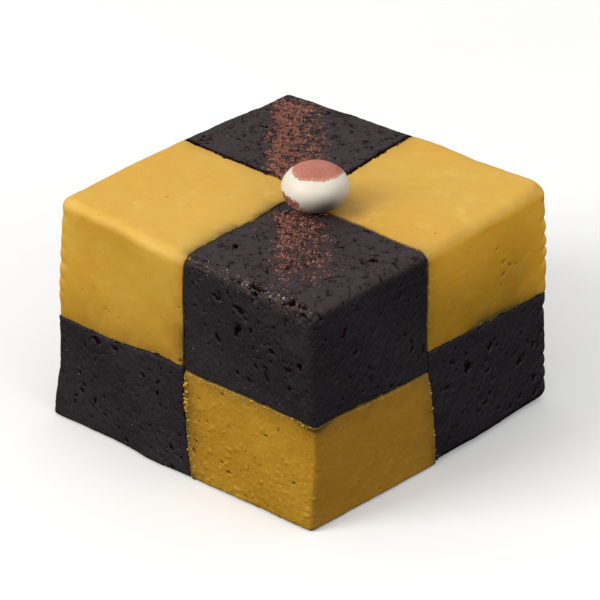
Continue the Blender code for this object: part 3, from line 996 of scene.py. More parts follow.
@dataclass
class Block:
    """One paste block: its cell, paste, softness, pits and the relief of its outer faces.

    Lumps, crumble, chips and scallop are heights and depths in mm. Shadowed is how dark the painted shadow
    in a dark block's seams is, and 1 puts it in deep shade.
    """

    name: str
    cell: tuple
    upper: bool
    paste: Paste
    softness: float
    cells: int = 128
    gap: float = 0.05 * MM
    seam_radius: float = 0.16 * MM
    foot_radius: float = 0.40 * MM
    lumps: float = 0.05
    crumble: float = 0.0
    sandy: float = 0.0
    chips: float = 0.10
    shadowed: float = 0.30
    scallop: float = 0.0
    seam_shade_weights: dict = field(default_factory=dict)

    # Cells of the column in front and of the one on the right
    FRONT = (1, 0)
    RIGHT = (1, 1)

    # How far the painted shadow along a seam reaches in mm, in deep shade and elsewhere, and how far the
    # mango's painted seam shade does
    SHADED_BAND = 0.55
    BAND = 0.22
    SHADE_REACH = 0.80

    # A block in deep shade stands a little further off and has rounder seams
    SHADED_GAP = 0.10 * MM
    SHADED_SEAM = 0.30 * MM

    # Places of the close grid lines within a rounded seam, as shares of its radius
    EDGE_SHARES = (0.0, 0.15, 0.4, 0.7, 1.0)

    # The map: its columns and rows of sides, and the margin within each
    MAP_SHAPE = (2, 3)
    MAP_MARGIN = 0.012

    # Pits: width over length, depth over half length, core and noise of the rim, and the wall's power
    PIT_WIDTH = 0.55
    PIT_DEPTH = 0.90
    PIT_CORE = 0.9
    PIT_RAGGED = 1.3
    PIT_POWER = 0.6

    # Depths in mm between which a pit's painted shade sets in, and the height in mm over which the painted
    # shade at a foot fades
    PIT_DARKENS = (0.03, 0.14)
    FOOT_SHADE = 4.0

    # Upper front corner of the lower front block: strength of its painted olive shade and of its painted
    # shadow, and how far in mm each reaches down and aside
    CORNER_OLIVE_SHADE = (2.2, 0.55, 2.6)
    CORNER_SHADE = (2.4, 0.36, 3.2)

    # Painted shade at the foot of the right mango block: its middle along the side, strength and reach in mm
    RIGHT_FOOT_SHADE = (0.52, 2.0, 0.65)

    # Faint shade round the pearl: its strength, and where it ends and where it is full, in mm
    HALO = (0.42, 5.2, 2.8)

    # Notches: their spacing and how far they reach from the edge in mm, and the power that sharpens them
    NOTCH_STEP = 1.50
    NOTCH_REACH = 1.7
    NOTCH_POWER = 0.6

    # Ticks of the knife: slant on each axis in degrees, length over width, then width and depth in mm
    TICK_SLANT = {0: 55.0, 1: -50.0, 2: 20.0}
    TICK_STRETCH = 3.2
    TICK_WIDTH = 0.20
    TICK_DEPTH = 0.035

    # How far under a face, in mm, points still belong to it
    FACE_DEPTH = 0.35

    # A distance in mm that no side is away, for the sides that don't count
    FAR = 99.0

    def __post_init__(self) -> None:
        """Work out the block's sides and the radius of each."""
        column, row = self.cell
        self.lattice = Lattice()
        self.shaded = self.shadowed == 1.0
        self.size = self.lattice.block_size()
        self.outer = np.array([[column == 0, row == 0, False], [column == 1, row == 1, self.upper]])
        inset = np.where(self.outer, 0.0, self.gap / 2 + (self.SHADED_GAP if self.shaded else 0.0))
        if not self.upper:
            inset[0, 2] = 0.0
        self.low, self.high = inset[0], self.size - inset[1]
        self.soft = np.where(self.outer, self.softness, 0.0)
        if not self.upper:
            self.soft[0, 2] = self.foot_radius

    def lines(self, axis: int) -> Array:
        """Places of the grid's lines along one axis: even in the middle, close at both rounded ends.

        Args:
            axis: Which axis.

        Returns:
            The places.
        """
        count = round(self.cells * self.size[axis] / self.size[0])
        ends = np.array(self.EDGE_SHARES) * self.seam_radius
        start, end = self.low[axis] + ends, self.high[axis] - ends[::-1]
        middle = np.linspace(start[-1], end[0], count + 1 - 2 * len(ends) + 2)
        return np.concatenate([start, middle[1:-1], end])

    def grid(self) -> tuple:
        """Lay a grid of two parameters over each of the six sides and weld the shared edges.

        Returns:
            The points before rounding, four point numbers a face, and the map place of each corner.
        """
        lines = [self.lines(axis) for axis in range(3)]
        counts = [len(values) for values in lines]
        keys, faces, places, start = [], [], [], 0
        self.patches = {}
        for number, (axis, end) in enumerate((a, e) for a in range(3) for e in (0, 1)):
            first, second = OTHER_AXES[axis]
            i, j = np.meshgrid(np.arange(counts[first]), np.arange(counts[second]), indexing="ij")
            index = np.zeros((*i.shape, 3), int)
            index[..., first], index[..., second] = i, j
            index[..., axis] = end * (counts[axis] - 1)
            keys.append(index.reshape(-1, 3))
            own = start + np.arange(i.size).reshape(i.shape)
            self.patches[(axis, end)] = own
            start += i.size
            quads = np.stack([own[:-1, :-1], own[1:, :-1], own[1:, 1:], own[:-1, 1:]], axis=-1)
            outward = (axis != 1) == (end == 1)
            faces.append((quads if outward else quads[..., ::-1]).reshape(-1, 4))
            spot = np.stack([i / (counts[first] - 1), j / (counts[second] - 1)], axis=-1)
            corner = np.array([number % 2, number // 2])
            spot = corner + self.MAP_MARGIN + spot * (1 - 2 * self.MAP_MARGIN)
            spot = spot / np.array(self.MAP_SHAPE)
            places.append(spot.reshape(-1, 2))
        keys, faces, places = np.concatenate(keys), np.concatenate(faces), np.concatenate(places)
        code = (keys[:, 0] * counts[1] + keys[:, 1]) * counts[2] + keys[:, 2]
        _, once, back = np.unique(code, return_index=True, return_inverse=True)
        back = back.reshape(-1)
        self.patches = {side: back[own] for side, own in self.patches.items()}
        kept = keys[once]
        points = np.stack([lines[axis][kept[:, axis]] for axis in range(3)], axis=1)
        self.grid_lines = lines
        return points, back[faces], places[faces]

    @staticmethod
    def rounded(points: Array, low: Array, high: Array, radii: Array, kept: Array | None = None) -> Array:
        """Round a box's edges: a point near an edge is drawn in until it lies on the edge's ellipsoid.

        The pull is the largest share of a radius over the root of the shares' squares. Sides that are kept
        count by their largest share alone, so an edge between two of them stays as it is.

        Args:
            points: Points on the box.
            low: Its low corner.
            high: Its high corner.
            radii: The radius at each low side, then at each high side.
            kept: Which low and high sides keep the edges between them, or None for no side.

        Returns:
            The rounded points.
        """
        core = np.clip(points, low + radii[0], high - radii[1])
        out = points - core
        radius = np.where(out < 0, radii[0], radii[1])
        share = np.abs(out) / np.where(radius > 0, radius, 1.0)
        longest = share.max(axis=1, keepdims=True)
        held = np.zeros(share.shape, bool) if kept is None else np.where(out < 0, kept[0], kept[1])
        rest = (np.where(held, 0.0, share) ** 2).sum(axis=1, keepdims=True)
        length = np.sqrt(rest + np.where(held, share, 0.0).max(axis=1, keepdims=True) ** 2)
        return core + out * np.where(length > 0, longest / np.where(length > 0, length, 1.0), 1.0)

    def side_gaps(self, points: Array) -> Array:
        """Distances from each point to the block's sides.

        Args:
            points: Rounded points, before bending.

        Returns:
            Distances to the three low sides and the three high sides, in mm.
        """
        return np.stack([points - self.low, self.high - points], axis=1) / MM

    def face_share(self, gaps: Array, axis: int, end: int) -> Array:
        """How fully each point belongs to one outer face: 1 on it, 0 from some depth under it."""
        return smooth(gaps[:, end, axis], self.FACE_DEPTH, 0.05)

    def pit_depth(self, points: Array, axis: int, end: int, pits: tuple, ragged: Array) -> Array:
        """Depth of a face's pits: for each, half its length times 0.9 (1 - s)^0.6.

        The spread s is 0.9 of the squared distance, which is 1 on the pit's oval rim, plus 1.3 of the
        noise, which makes the rim ragged.

        Args:
            points: Rounded points, before bending.
            axis: The axis that the face looks along.
            end: 0 for its low side, 1 for its high side.
            pits: Place across and up, length in mm and slant in degrees of each pit.
            ragged: Noise at each point.

        Returns:
            The depth in mm.
        """
        first, second = OTHER_AXES[axis]
        way = 1.0 if (axis != 1) == (end == 1) else -1.0
        flat = points[:, [first, second]] / MM
        depth = np.zeros(len(points))
        for u, v, length, slant in pits:
            middle = np.array([u, v]) * self.size[[first, second]] / MM
            angle = math.radians(slant) * way
            along = np.array([math.cos(angle), math.sin(angle)])
            beside = np.array([-along[1], along[0]])
            half = length / 2
            shift = flat - middle
            near = np.nonzero(np.abs(shift).max(axis=1) < length)[0]
            spread = (shift[near] @ along / half) ** 2 + (shift[near] @ beside / (half * self.PIT_WIDTH)) ** 2
            spread = self.PIT_CORE * spread + self.PIT_RAGGED * ragged[near]
            hollow = half * self.PIT_DEPTH * np.clip(1 - spread, 0, 1) ** self.PIT_POWER
            depth[near] = np.maximum(depth[near], hollow)
        return depth

    def relief(self, points: Array, placed: Array) -> tuple:
        """Height of the surface's relief at each point, and the numbers that its finish reads.

        The height is layered noise, less the pits, the dark paste's ticks, the chips along the seams and
        the notches, and each paste adds its own. It fades out inside the seams.

        Args:
            points: Rounded points, before bending.
            placed: The same points after bending.

        Returns:
            The height in metres, and the numbers by name.
        """
        where = placed / MM
        soft = self.softness / MM
        gaps = self.side_gaps(points)
        nearest = np.sort(np.where(self.outer, gaps, self.FAR).reshape(len(points), 6), axis=1)
        seam_gap = self.seam_gap(gaps)
        shown = smooth(nearest[:, 0], 0.60, 0.10)
        hollow, pit = self.hollows(points, gaps, layered(where, 0.34, Seed.RAGGED, 3))
        height = self.lumps * layered(where, 2.4, Seed.LUMPS, 3) - hollow
        rim = smooth(seam_gap, 0.42, 0.02) * smooth(nearest[:, 0], 0.50, 0.05)
        height -= rim * self.chips * smooth(layered(where, 0.70, Seed.CHIPS, 3), 0.15, 0.60)
        if self.scallop:
            height -= self.notches(gaps, where)
        side = smooth(gaps[:, 1, 2], 0.1, 0.9 * soft) if self.upper else np.ones(len(points))
        # The seam number is the painted shadow in the seams
        seam = np.exp(-seam_gap / (self.SHADED_BAND if self.shaded else self.BAND)) * shown
        numbers = {"pit": pit * shown, "seam": seam, "side": side}
        # edge is the dark paste's wear and the mango's painted edge highlight
        numbers["edge"] = self.edge_wear_and_light(gaps, nearest[:, 1]) * shown
        # turned marks the side that looks along X, which the finishes paint in light and shade of its own
        numbers["turned"] = side * smooth(gaps[:, :, 0].min(axis=1), 0.9 * soft, 0.1)
        if self.paste is Paste.CHOCOLATE:
            height += self.chocolate_relief(points, placed, gaps, numbers)
        else:
            # low is the painted shade towards the foot
            numbers["low"] = side * self.painted_foot_shade(gaps)
            height += self.mango_relief(placed, gaps, shown, numbers)
        return height * np.maximum(shown, rim) * MM, numbers

    def seam_gap(self, gaps: Array) -> Array:
        """Distance from each point to the nearest seam in mm, where the ground isn't a seam.

        Args:
            gaps: Distances to the six sides in mm.

        Returns:
            One distance a point.
        """
        seams = ~self.outer
        if not self.upper:
            seams[0, 2] = False
        return np.where(seams, gaps, self.FAR).reshape(len(gaps), 6).min(axis=1)

    def hollows(self, points: Array, gaps: Array, ragged: Array) -> tuple:
        """Ticks and pits of all outer faces, one face after the other.

        Args:
            points: Rounded points, before bending.
            gaps: Distances to the six sides in mm.
            ragged: Noise at each point.

        Returns:
            Their depth in mm, and how surely each point lies in a pit.
        """
        hollow, pit = np.zeros(len(points)), np.zeros(len(points))
        for axis, end in np.ndindex(3, 2):
            if self.outer[end, axis]:
                share = self.face_share(gaps, axis, end)
                pits = PITS_OF[self.name].get((axis, end), ())
                deep = self.pit_depth(points, axis, end, pits, ragged)
                hollow += share * (self.ticks(points, axis, end) + deep)
                # pit tells the finishes where to paint shade
                pit = np.maximum(pit, share * smooth(deep, *self.PIT_DARKENS))
        return hollow, pit

    def edge_wear_and_light(self, gaps: Array, second: Array) -> Array:
        """Edge wear of the dark paste and painted edge highlight of the mango.

        Both are 1 on an edge between two outer sides and 0 at nearly the softness from it. A dark block wears
        most along its top. The mango's upright side to the right takes less painted highlight, and the lower
        mango blocks take none.

        Args:
            gaps: Distances to the six sides in mm.
            second: Distance to the second nearest outer side in mm.

        Returns:
            The wear and painted highlight, from 0 to 1.
        """
        soft = self.softness / MM
        worn = smooth(second, 0.9 * soft, 0.1 * soft)
        if self.paste is Paste.CHOCOLATE:
            return worn * (smooth(gaps[:, 1, 2], 1.8 * soft, 0.5 * soft) if self.upper else 0.5)
        if not self.upper:
            return np.zeros(len(gaps))
        along_top = smooth(gaps[:, self.cell[1], 1], 0.3 * soft, 1.3 * soft)
        turned = smooth(gaps[:, :, 0].min(axis=1), 1.2 * soft, 0.2)
        return worn * (1 - 0.6 * turned * along_top)

    def painted_foot_shade(self, gaps: Array) -> Array:
        """Painted shade of an upper mango block towards its foot: an exponential of the height over it.

        The right block's side that looks along X takes its painted shade by a smooth step instead. Both fade
        towards the outer upright edge.

        Args:
            gaps: Distances to the six sides in mm.

        Returns:
            The shade, from 0 to 1, and 0 on a lower block.
        """
        if not self.upper:
            return np.zeros(len(gaps))
        foot = gaps[:, 0, 2]
        corner = np.where(self.outer, gaps, self.FAR)[:, :, :2].min(axis=1).max(axis=1)
        corner = smooth(corner, 5.0, 0.5)
        soft = self.softness / MM
        turned = smooth(gaps[:, :, 0].min(axis=1), 0.9 * soft, 0.1) if self.cell[0] else 0.0
        low = np.exp(-foot / self.FOOT_SHADE) * (1 - 0.45 * corner) * (1 - turned)
        return low + turned * smooth(foot, 10.0, 1.5) * (1 - 0.95 * corner)

    def mango_relief(self, placed: Array, gaps: Array, shown: Array, numbers: dict) -> Array:
        """The mango's own relief: faint noise, sandy grains and small dents; also its painted shade and
        shadow.

        Args:
            placed: Bent points.
            gaps: Distances to the six sides in mm.
            shown: How surely each point lies outside the seams.
            numbers: The finish's numbers, to which painted shade and shadow, sand and dents are added.

        Returns:
            The height in mm.
        """
        where = placed / MM
        # Painted shadow in the upper front corner, under the dark block
        if self.cell == self.FRONT:
            shade = self.corner_shade(gaps, *self.CORNER_SHADE) * shown
            numbers["seam"] = np.maximum(numbers["seam"], shade)
        numbers["painted_shade"] = self.painted_shade(gaps, placed) * shown
        even = smooth(gaps[:, 0, 1], 0.8, 0.2) if self.cell[1] == 0 else 1.0
        numbers["sandy"] = (0.35 + 0.65 * even) * (0.60 + 0.50 * smooth(where[:, 2], 7.0, 3.5))
        sandy = self.sandy * numbers["sandy"]
        height = (0.003 + sandy * 0.022) * layered(where, 0.34, Seed.SAND, 2)
        height += 0.09 * sandy * smooth(field_at(where, 0.36, Seed.SAND_GRAINS), 0.55, 0.82)
        dents = smooth(field_at(where, 0.40, Seed.DENTS), 0.84, 0.95)
        # Dents take a little painted shade
        numbers["pit"] = np.maximum(numbers["pit"], 0.3 * dents * shown)
        return height - 0.03 * dents

    def notches(self, gaps: Array, where: Array) -> Array:
        """Notches up the block's outer upright edge: 1 less the 0.6th power of a sine's size.

        Noise shifts the sine, and more noise makes each notch shallower or deeper.

        Args:
            gaps: Distances to the six sides in mm.
            where: Bent points in mm.

        Returns:
            Their depth in mm.
        """
        corner = np.hypot(*(gaps[:, self.cell[axis], axis] for axis in (0, 1)))
        upright = where * [0.1, 0.1, 1.0]
        sway = field_at(upright, 2.3, Seed.NOTCH_SWAY + self.cell[0])
        swell = np.abs(np.sin(math.pi * where[:, 2] / self.NOTCH_STEP + 2.0 * sway)) ** self.NOTCH_POWER
        uneven = smooth(field_at(upright, 1.3, Seed.NOTCH_DEPTH + self.cell[0]), -0.5, 0.5)
        depth = 0.25 + 0.95 * uneven
        return self.scallop * depth * smooth(corner, self.NOTCH_REACH, 0.4) * (1 - swell)

    def chocolate_relief(self, points: Array, placed: Array, gaps: Array, numbers: dict) -> Array:
        """The dark paste's own relief: fine noise, pores, the crumbled edge and the cocoa with its lumps.

        Args:
            points: Rounded points, before bending.
            placed: The same points after bending.
            gaps: Distances to the six sides in mm.
            numbers: The finish's numbers, to which pores, crumbs and cocoa are added, and whose seams
                are weakened where the block isn't in deep shade.

        Returns:
            The height in mm.
        """
        where = placed / MM
        # Painted shadow in the seams, full in deep shade
        numbers["seam"] = numbers["seam"] * self.shadowed
        ragged = layered(where, 0.34, Seed.RAGGED, 3)
        height = (0.022 if self.upper else 0.014) * layered(where, 0.36, Seed.DARK_CRUMB, 2)
        pores = smooth(field_at(where, 0.33, Seed.PORES), 0.62, 0.85)
        height -= 0.10 * pores
        # Pores take the painted shade of pits
        numbers["pit"] = np.maximum(numbers["pit"], 0.8 * pores)
        if self.crumble:
            fallen, near = self.crumbled(points, where)
            height -= fallen
            patchy = smooth(layered(where, 1.0, Seed.WORN_PATCHES, 2), -0.4, 0.3)
            numbers["edge"] = np.maximum(numbers["edge"], near * patchy * smooth(fallen, 0.24, 0.06))
            # Crumbled hollows take the painted shade of pits
            numbers["pit"] = np.maximum(numbers["pit"], near * smooth(fallen, 0.14, 0.27))
        top = self.face_share(gaps, 2, 1) if self.upper else np.zeros(len(points))
        numbers["cocoa"] = CocoaStripe().cover(placed) * top
        height += numbers["cocoa"] * 0.07 * layered(where, 0.30, Seed.COCOA_HEAPS, 2)
        for middle, size in LUMPS_OF.get(self.name, ()):
            spread = ((placed[:, :2] - middle) ** 2).sum(axis=1) / size**2 + 0.5 * ragged
            height += 0.8 * size / MM * np.sqrt(np.clip(1 - spread, 0, 1)) * top
        return height

    def painted_shade(self, gaps: Array, placed: Array) -> Array:
        """Painted shade on the mango, which falls off as an exponential from each seam and the pearl.

        Args:
            gaps: Distances to the six sides in mm.
            placed: Bent points.

        Returns:
            The painted shade, from 0 to 1.
        """
        painted_shade = np.zeros(len(gaps))
        patchy = layered(placed / MM, 2.2, Seed.SHADE_PATCHES, 2)
        patchy = 0.55 + 0.60 * smooth(patchy, -0.45, 0.45)
        for (axis, end), weight in self.seam_shade_weights.items():
            painted_shade = np.maximum(painted_shade, weight * patchy * np.exp(-gaps[:, end, axis] / self.SHADE_REACH))
        if self.cell == self.FRONT:
            painted_shade = np.maximum(painted_shade, self.corner_shade(gaps, *self.CORNER_OLIVE_SHADE))
        if self.cell == self.RIGHT:
            middle, strength, reach = self.RIGHT_FOOT_SHADE
            along = gaps[:, 0, 1] * MM / self.size[1]
            right_foot_shade = smooth(np.abs(along - middle), 0.36, 0.10)
            painted_shade = np.maximum(painted_shade, strength * right_foot_shade * np.exp(-gaps[:, 0, 2] / reach))
        # Painted shadow of the pearl on the upper blocks
        if self.upper:
            strength, start, full = self.HALO
            shift = (placed[:, :2] - np.array(Pearl.HALO_CENTRE)) / MM
            painted_shade = np.maximum(painted_shade, strength * smooth(np.hypot(*shift.T), start, full))
        return painted_shade

    @staticmethod
    def corner_shade(gaps: Array, strength: float, down: float, aside: float) -> Array:
        """Painted shadow round a block's upper front corner: an exponential that falls downwards and aside.

        Args:
            gaps: Distances to the six sides in mm.
            strength: The darkness in the corner.
            down: How far it reaches down, in mm.
            aside: How far it reaches aside, in mm.

        Returns:
            The darkness.
        """
        corner = gaps[:, 1, 0] + gaps[:, 0, 1]
        return strength * np.exp(-gaps[:, 1, 2] / down - corner / aside)

    def ticks(self, points: Array, axis: int, end: int) -> Array:
        """Fine slanted ticks that the cut leaves: noise stretched along a slant, where it passes a limit.

        Args:
            points: Rounded points, before bending.
            axis: The axis that the face looks along.
            end: 0 for its low side, 1 for its high side.

        Returns:
            Their depth in mm.
        """
        if self.paste is Paste.MANGO:
            return np.zeros(len(points))
        first, second = OTHER_AXES[axis]
        slant = math.radians(self.TICK_SLANT[axis])
        flat = points[:, [first, second]] / MM
        along = flat @ np.array([math.cos(slant), math.sin(slant)])
        beside = flat @ np.array([-math.sin(slant), math.cos(slant)])
        layer = np.full(len(flat), 7.0 * axis + end)
        stretched = np.column_stack([along / self.TICK_STRETCH, beside, layer])
        ticks = field_at(stretched, self.TICK_WIDTH, Seed.TICKS + axis)
        return self.TICK_DEPTH * smooth(ticks, 0.35, 0.75)

    def crumbled(self, points: Array, where: Array) -> tuple:
        """Hollows along the ragged edge over the low-Y face: strong noise that fades away from the edge.

        Args:
            points: Rounded points, before bending.
            where: Bent points in mm.

        Returns:
            Their depth in mm, and how near the edge each point lies.
        """
        below = (self.high[2] - points[:, 2]) / MM
        behind = (points[:, 1] - self.low[1]) / MM
        along = points[:, 0] / self.size[0]
        reach = 0.55 + 1.00 * smooth(along, 0.30, 0.70)
        uneven = 0.3 * layered(where, 0.8, Seed.FALLEN_REACH, 2)
        near = smooth(np.hypot(1.3 * below, behind) / reach + uneven, 1.2, 0.5)
        swell = 0.30 + 0.70 * smooth(along, 0.10, 0.45) * smooth(along, 1.02, 0.85)
        broken = smooth(layered(where, 0.62, Seed.FALLEN, 4), -0.15, 0.40)
        return self.crumble * near * swell * broken, near * swell

    def build(self, material: bpy.types.Material) -> bpy.types.Object:
        """Make the block.

        Args:
            material: Its finish.

        Returns:
            The object.
        """
        points, faces, map_places = self.grid()
        seam = np.full((2, 3), self.SHADED_SEAM if self.shaded else self.seam_radius)
        points = self.rounded(points, self.low, self.high, seam, self.outer)
        points = self.rounded(points, self.low, self.high, self.soft)
        placed = self.lattice.place(points / self.size, self.cell, self.upper)
        placed = self.lattice.wobble(placed)
        height, numbers = self.relief(points, placed)
        placed = placed + vertex_normals(placed, faces) * height[:, None]
        placed[:, 2] = np.maximum(placed[:, 2], 0.0)
        if self.upper:
            placed = Pearl().press(placed)
        self.placed = placed
        piece = Piece(f"{self.name}_block", placed, faces, numbers, map_places)
        return piece.place(material, self.paste.value, (self.name,))

    def on_face(self, axis: int, end: int, u: Array, v: Array) -> Array:
        """Places on one finished face, blended between the four nearest points of its grid.

        Args:
            axis: The axis that the face looks along.
            end: 0 for its low side, 1 for its high side.
            u: Places across, from 0 to 1.
            v: Places along, from 0 to 1.

        Returns:
            The places.
        """
        first, second = OTHER_AXES[axis]
        grid = self.placed[self.patches[(axis, end)]]
        i, a = self._between(self.grid_lines[first], u * self.size[first])
        j, b = self._between(self.grid_lines[second], v * self.size[second])
        a, b = a[:, None], b[:, None]
        near = grid[i, j] * (1 - a) * (1 - b) + grid[i + 1, j] * a * (1 - b)
        return near + grid[i, j + 1] * (1 - a) * b + grid[i + 1, j + 1] * a * b

    @staticmethod
    def _between(lines: Array, value: Array) -> tuple:
        """Number of the grid line under each value, and the share of the way to the next."""
        value = np.clip(value, lines[0], lines[-1])
        index = np.clip(np.searchsorted(lines, value) - 1, 0, len(lines) - 2)
        return index, (value - lines[index]) / (lines[index + 1] - lines[index])

    def plan_to_face(self, plan: Array) -> tuple:
        """Find where plan positions lie on the block's top, by stepping towards them.

        Args:
            plan: X and Y of each position.

        Returns:
            Places across and along the top.
        """
        unit = np.column_stack([np.full((len(plan), 2), 0.5), np.ones(len(plan))])
        for _ in range(12):
            place = self.lattice.place(unit, self.cell, True)
            unit[:, :2] += (plan - place[:, :2]) / self.size[:2]
        return unit[:, 0], unit[:, 1]


@dataclass
class Pearl:
    """The white sugar pearl, a low ball with its cap of cocoa."""

    radius: float = 2.94 * MM
    half_height: float = 2.07 * MM
    centre: tuple = (2.6 * MM, -1.2 * MM)
    sink: float = 0.05 * MM
    clearance: float = 0.02 * MM
    unevenness: float = 0.010
    cap_thickness: float = 0.010
    around: int = 160
    rings: int = 100

    # Where the pearl's shade falls on the mango
    HALO_CENTRE = (3.2 * MM, -1.6 * MM)

    def middle(self) -> Array:
        """Centre of the ball."""
        return np.array([*self.centre, Lattice().height - self.sink + self.half_height])

    def press(self, points: Array) -> Array:
        """Push points that lie inside the ball straight down onto its underside.

        Args:
            points: Places on a block.

        Returns:
            The pushed places.
        """
        shift = points - self.middle()
        reach = self.radius + self.clearance
        flat = (shift[:, 0] ** 2 + shift[:, 1] ** 2) / reach**2
        under = self.half_height * np.sqrt(np.clip(1 - flat, 0, 1)) + self.clearance
        limit = self.middle()[2] - under
        moved = points.copy()
        inside = (flat < 1) & (points[:, 2] > limit)
        moved[inside, 2] = limit[inside]
        return moved

    def build(self, material: bpy.types.Material) -> bpy.types.Object:
        """Make the pearl: a ball over a grid of turn and tilt, a little lumpy, with closed poles.

        Args:
            material: Its finish.

        Returns:
            The object.
        """
        turn = np.arange(self.around) / self.around * 2 * math.pi
        tilt = np.linspace(0, math.pi, self.rings + 1)[1:-1]
        tilt, turn = np.meshgrid(tilt, turn, indexing="ij")
        ball = np.stack([np.sin(tilt) * np.cos(turn), np.sin(tilt) * np.sin(turn), np.cos(tilt)], axis=-1)
        ball = np.concatenate([ball.reshape(-1, 3), [[0, 0, 1]], [[0, 0, -1]]])
        size = np.array([self.radius, self.radius, self.half_height])
        lumpy = 1 + self.unevenness * layered(ball * 2, 1.3, Seed.PEARL_LUMPS, 2)
        points = ball * size * lumpy[:, None]
        cap = self.cap(points)
        points = points * (1 + self.cap_thickness * smooth(cap, 0.4, 0.6))[:, None] + self.middle()
        own = np.arange((self.rings - 1) * self.around).reshape(self.rings - 1, self.around)
        beside = np.roll(own, -1, axis=1)
        quads = np.stack([own[:-1], own[1:], beside[1:], beside[:-1]], axis=-1).reshape(-1, 4)
        top, foot = len(points) - 2, len(points) - 1
        first = np.stack([np.full(self.around, top), own[0], beside[0]], axis=-1)
        last = np.stack([np.full(self.around, foot), beside[-1], own[-1]], axis=-1)
        halves = [quads[:, [0, 1, 2]], quads[:, [0, 2, 3]]]
        triangles = np.concatenate([*halves, first, last])
        numbers = {"cap": cap, **self.foot(points - self.middle())}
        piece = Piece("pearl_shell", points, triangles, numbers)
        return piece.place(material, "white_sugar", ("pearl",))

    def cap(self, points: Array) -> Array:
        """How surely the brown cap covers each place: an oval that reaches over the crown's far side.

        Args:
            points: Places from the pearl's centre.

        Returns:
            The cover, 0.5 at its rim.
        """
        far, aside = CocoaStripe().along_and_aside(points)
        ragged = 0.05 * layered(points / MM, 0.5, Seed.CAP_EDGE, 3)
        spread = np.hypot((aside - 0.16) / 2.14, (far - 0.12 - 0.10 * aside) / 2.10)
        return smooth(spread + ragged, 1.5, 0.5) * (points[:, 2] > 0)

    def foot_places(self, scatter: np.random.Generator, count: int) -> Array:
        """Places low on the pearl's left where cocoa clings, thickest next to the paste.

        Args:
            scatter: The random draws.
            count: How many.

        Returns:
            The places.
        """
        stripe = CocoaStripe()
        turn = np.radians(scatter.normal(218, 17, count))
        tilt = np.radians(scatter.normal(128, 10, count))
        aside, far = np.sin(tilt) * np.cos(turn), np.sin(tilt) * np.sin(turn)
        cosine, sine = math.cos(stripe.turn), math.sin(stripe.turn)
        ball = np.stack([aside * cosine - far * sine, aside * sine + far * cosine, np.cos(tilt)], axis=1)
        return ball * np.array([self.radius, self.radius, self.half_height]) + self.middle()

    def foot(self, points: Array) -> dict:
        """Numbers of the pearl's lower half: the painted grey shade of its foot and the smear of cocoa there.

        Args:
            points: Places from the pearl's centre.

        Returns:
            The numbers by name.
        """
        far, aside = CocoaStripe().along_and_aside(points)
        down = -points[:, 2] / MM
        ragged = 0.5 * layered(points / MM, 0.45, Seed.SMEAR_EDGE, 3)
        spread = np.hypot((aside + 2.35) / 1.1, (down - 0.75) / 0.70)
        smear = smooth(spread + ragged, 1.6, 0.2) * (far < 0.6)
        # Painted shade: darker downwards, centred a little to the right
        foot = smooth(down + 0.20 * aside, -1.0, 1.0) * np.exp(-(((aside - 0.8) / 2.2) ** 2))
        return {"smear": smear, "foot": 0.98 * foot}


@dataclass
class Grains:
    """Many small rough chips in one mesh: each a rounded twelve-point solid, uneven and turned."""

    name: str
    seed: int
    least: float = 0.72
    most: float = 1.2

    CORNERS = 12
    LONGEST_SIDE = 1.2

    def template(self) -> tuple:
        """The twelve points and twenty faces of a regular solid with triangle sides.

        Returns:
            Points on the unit ball, and three point numbers a face.
        """
        golden = (1 + math.sqrt(5)) / 2
        points = [(-1, golden, 0), (1, golden, 0), (-1, -golden, 0), (1, -golden, 0)]
        points += [(z, x, y) for x, y, z in points]
        points += [(y, z, x) for x, y, z in points[:4]]
        points = np.array(points, float)
        points /= np.linalg.norm(points[0])
        faces = []
        for a in range(self.CORNERS):
            for b in range(a + 1, self.CORNERS):
                for c in range(b + 1, self.CORNERS):
                    sides = [np.linalg.norm(points[p] - points[q]) for p, q in ((a, b), (b, c), (a, c))]
                    if max(sides) < self.LONGEST_SIDE:
                        way = np.cross(points[b] - points[a], points[c] - points[a]) @ points[a]
                        faces.append((a, b, c) if way > 0 else (a, c, b))
        return points, np.array(faces)

    def build(
        self, middles: Array, sizes: Array, material: bpy.types.Material, slot: str, smooth_faces: bool = True
    ) -> bpy.types.Object:
        """Make all grains.

        Args:
            middles: Their centres.
            sizes: Their three half sizes.
            material: Their finish.
            slot: The record's material slot.
            smooth_faces: Whether they shade smoothly.

        Returns:
            The object.
        """
        draw = np.random.default_rng(self.seed)
        ball, faces = self.template()
        count = len(middles)
        stretch = draw.uniform(self.least, self.most, (count, self.CORNERS, 1))
        uneven = ball[None] * stretch * sizes[:, None, :]
        turn = draw.uniform(0, 2 * math.pi, count)
        cosine, sine = np.cos(turn)[:, None], np.sin(turn)[:, None]
        x = uneven[..., 0] * cosine - uneven[..., 1] * sine
        y = uneven[..., 0] * sine + uneven[..., 1] * cosine
        points = np.stack([x, y, uneven[..., 2]], axis=-1) + middles[:, None, :]
        every = faces[None] + self.CORNERS * np.arange(count)[:, None, None]
        tone = np.repeat(draw.uniform(0, 1, count), self.CORNERS)
        piece = Piece(self.name, points.reshape(-1, 3), every.reshape(-1, 3), {"tone": tone})
        piece.smooth = smooth_faces
        return piece.place(material, slot)


